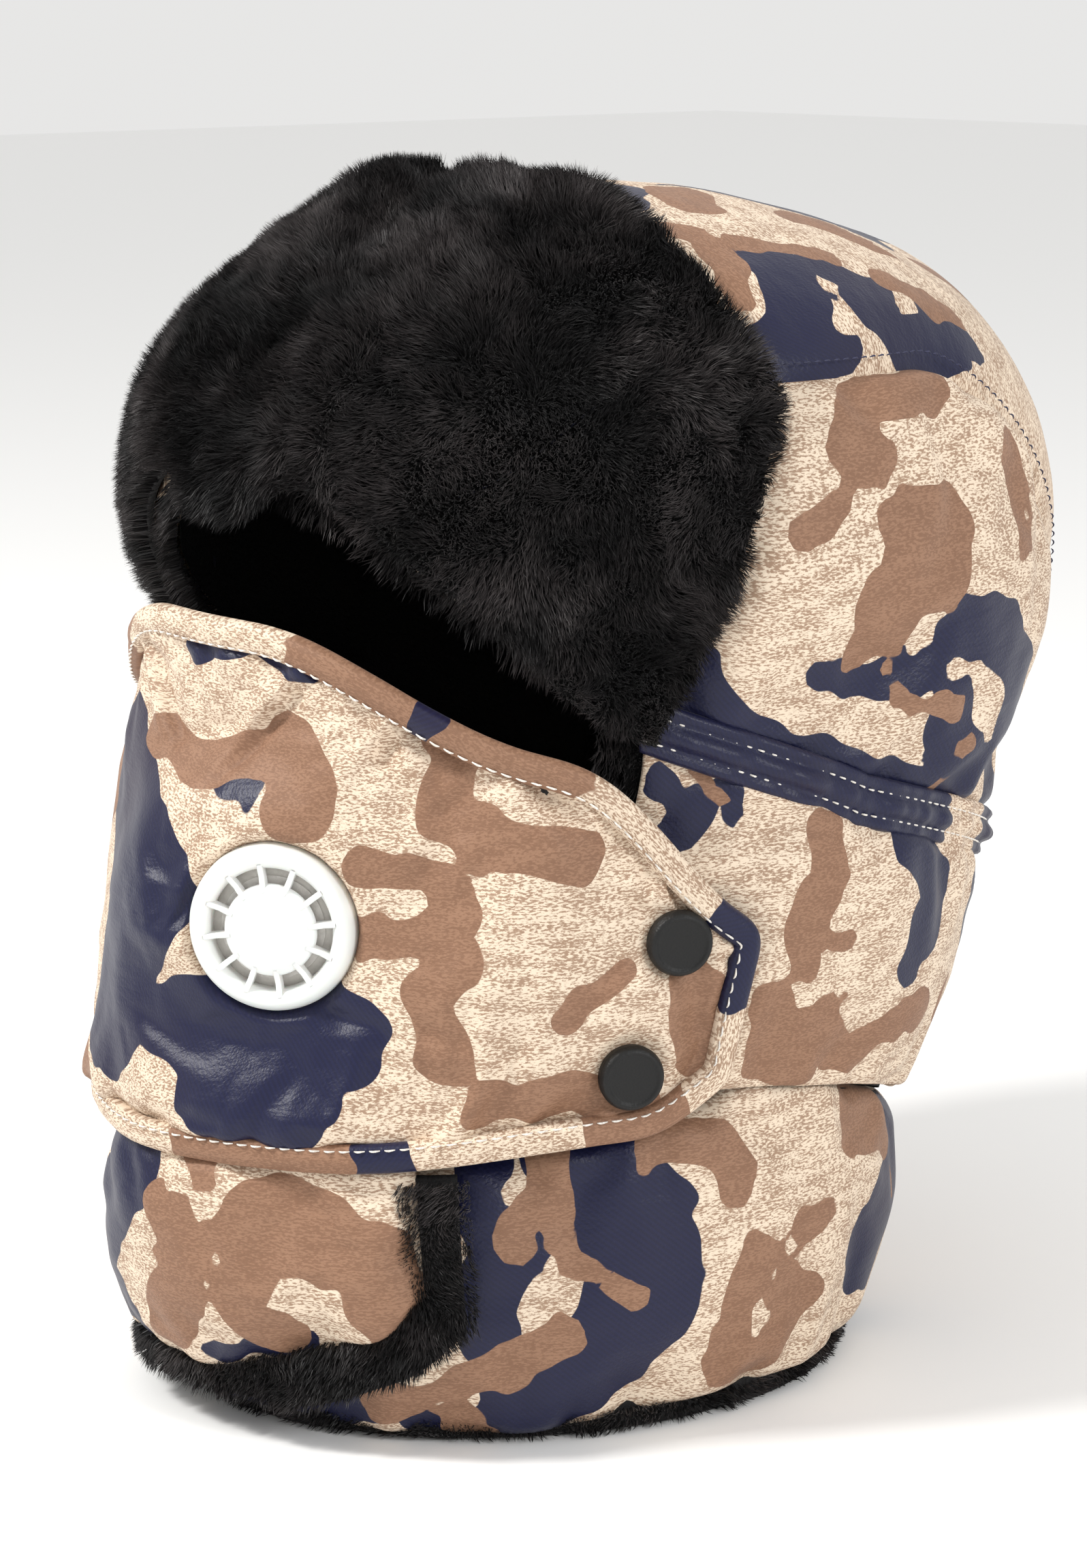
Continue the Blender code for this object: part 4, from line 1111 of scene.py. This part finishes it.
for side, name in ((1, "left"), (-1, "right")):
    for angle, level, which in SNAPS:
        at, normal, up = (x[0] for x in frames_of(np.array([side * angle]), np.array([level]), 16.0))
        foot = at - normal * 16.0 * MM
        cap = turned(f"snap_button_{name}_{which}",
                     rounded(((0.0, 23.0), (5.6, 23.0), (6.3, 23.5), (7.2, 22.9), (7.7, 21.6), (7.5, 19.4),
                              (0.0, 19.4))),
                     foot, normal, SNAP)
        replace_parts(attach(cap, "mask"), f"snap_cap_{name}_{which}")
        stud = turned(f"snap_peg_{name}_{which}",
                      rounded(((0.0, 14.2), (1.8, 14.0), (1.5, 12.8), (4.8, 12.8), (4.8, 12.2), (0.0, 12.2))),
                      foot, normal, SNAP, 32)
        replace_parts(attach(stud, "crown"), f"snap_stud_{name}_{which}")


def valve_cover():
    """Domed outer ring, a trough of vents bridged by spokes, and a raised middle disc."""
    facing = np.array(Vector(VALVE_AXIS).to_track_quat("Z", "Y").to_matrix())
    ring = turned("valve_ring", rounded(((14.2, 1.2), (14.3, 4.3), (15.4, 6.0), (16.9, 6.6), (18.4, 5.6), (19.5, 3.2),
                                         (19.8, 0.4), (19.6, -2.6), (14.2, -2.6), (14.2, 1.2)), 1.0), VALVE_AT,
                                         VALVE_AXIS, VALVE, 96)
    disc = turned("valve_disc_cap", rounded(((0.0, 6.7), (8.0, 6.5), (10.2, 5.9), (10.8, 4.8), (10.8, 3.4), (0.0,
                                                                                                             3.4)),
                                                                                                             0.9),
                  VALVE_AT, VALVE_AXIS, VALVE, 96)
    parts = [ring, disc]
    points, faces = [], []
    for k in range(12):
        around = math.radians(30 * k + 8)
        c, s = math.cos(around), math.sin(around)
        first = len(points)
        for radius, top in ((9.2, 6.3), (12.6, 5.5), (15.6, 6.2)):
            for x, z in ((-0.65, 3.0), (-0.65, top - 0.3), (-0.35, top), (0.35, top), (0.65, top - 0.3), (0.65, 3.0)):
                local = np.array((radius * c - x * s, radius * s + x * c, z)) * MM
                points.append(facing @ local + VALVE_AT)
        for r in range(2):
            for q in range(6):
                a, b = first + r * 6 + q, first + r * 6 + (q + 1) % 6
                faces.append((a, b, b + 6, a + 6))
    spokes = mesh_object("valve_spokes", points, faces, VALVE, smooth=False)
    parts.append(spokes)
    for part in parts:
        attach(part, "mask")
    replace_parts(ring, "valve_cover")
    floor_ring = turned("valve_inner_seat", ((0.0, 1.4), (15.6, 1.4), (15.6, 0.2), (13.4, 0.2), (13.4, -9.0),
                                             (18.4, -9.0),
                                             (18.4, -9.6), (0.0, -9.6)), VALVE_AT, VALVE_AXIS, SEAT, 48)
    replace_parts(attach(floor_ring, "mask"), "valve_seat")
    disc = turned("valve_rubber_disc", rounded(((0.0, 2.1), (12.2, 2.1), (12.2, 1.7), (0.0, 1.7)), 0.15), VALVE_AT,
                  VALVE_AXIS, RUBBER, 48)
    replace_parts(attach(disc, "valve_disc"), "valve_diaphragm")


valve_cover()

# the closure patches keep their CAD shape and get a tape material
for node in ("loop_patch", "hook_patch"):
    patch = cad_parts[node]
    patch.data.materials.clear()
    patch.data.materials.append(TAPE)

# ---------------------------------------------------------------- stage, light, camera
floor = mesh_object("floor", [(-6, -6, 0), (6, -6, 0), (6, 6, 0), (-6, 6, 0)], [(0, 1, 2, 3)], None)
paper = plain("white_paper", (0.93, 0.93, 0.925), 0.9)
floor.data.materials.append(paper.mat)
world = bpy.data.worlds.new("studio")
bpy.context.scene.world = world
world.use_nodes = True
world.node_tree.nodes["Background"].inputs["Color"].default_value = (1.0, 0.995, 0.985, 1)
world.node_tree.nodes["Background"].inputs["Strength"].default_value = 0.80
bpy.context.scene.view_settings.view_transform = "Standard"


def area(name, place, target, size, power, colour=(1, 1, 1)):
    light = bpy.data.lights.new(name, "AREA")
    light.shape = "DISK"
    light.size = size
    light.energy = power
    light.color = colour
    thing = bpy.data.objects.new(name, light)
    thing.location = place
    thing.rotation_euler = (Vector(target) - Vector(place)).to_track_quat("-Z", "Y").to_euler()
    bpy.context.scene.collection.objects.link(thing)


area("key", (-0.45, -1.05, 1.35), (0, 0, 0.15), 0.30, 23, (1.0, 0.985, 0.96))
area("side", (1.6, 0.1, 0.9), (0, 0, 0.15), 0.45, 11)

camera_data = bpy.data.cameras.new("photo")
camera = bpy.data.objects.new("photo", camera_data)
bpy.context.scene.collection.objects.link(camera)
bpy.context.scene.camera = camera
camera_data.lens = 80
camera_data.dof.use_dof = False
AZIMUTH, ELEVATION, DISTANCE = math.radians(48), math.radians(13), 0.88
target = Vector((0.0, -0.0067, 0.138))
away = Vector((math.sin(AZIMUTH) * math.cos(ELEVATION), -math.cos(AZIMUTH) * math.cos(ELEVATION),
               math.sin(ELEVATION)))
camera.location = target + away * DISTANCE
camera.rotation_euler = (-away).to_track_quat("-Z", "Y").to_euler()
camera_data.clip_start, camera_data.clip_end = 0.05, 20
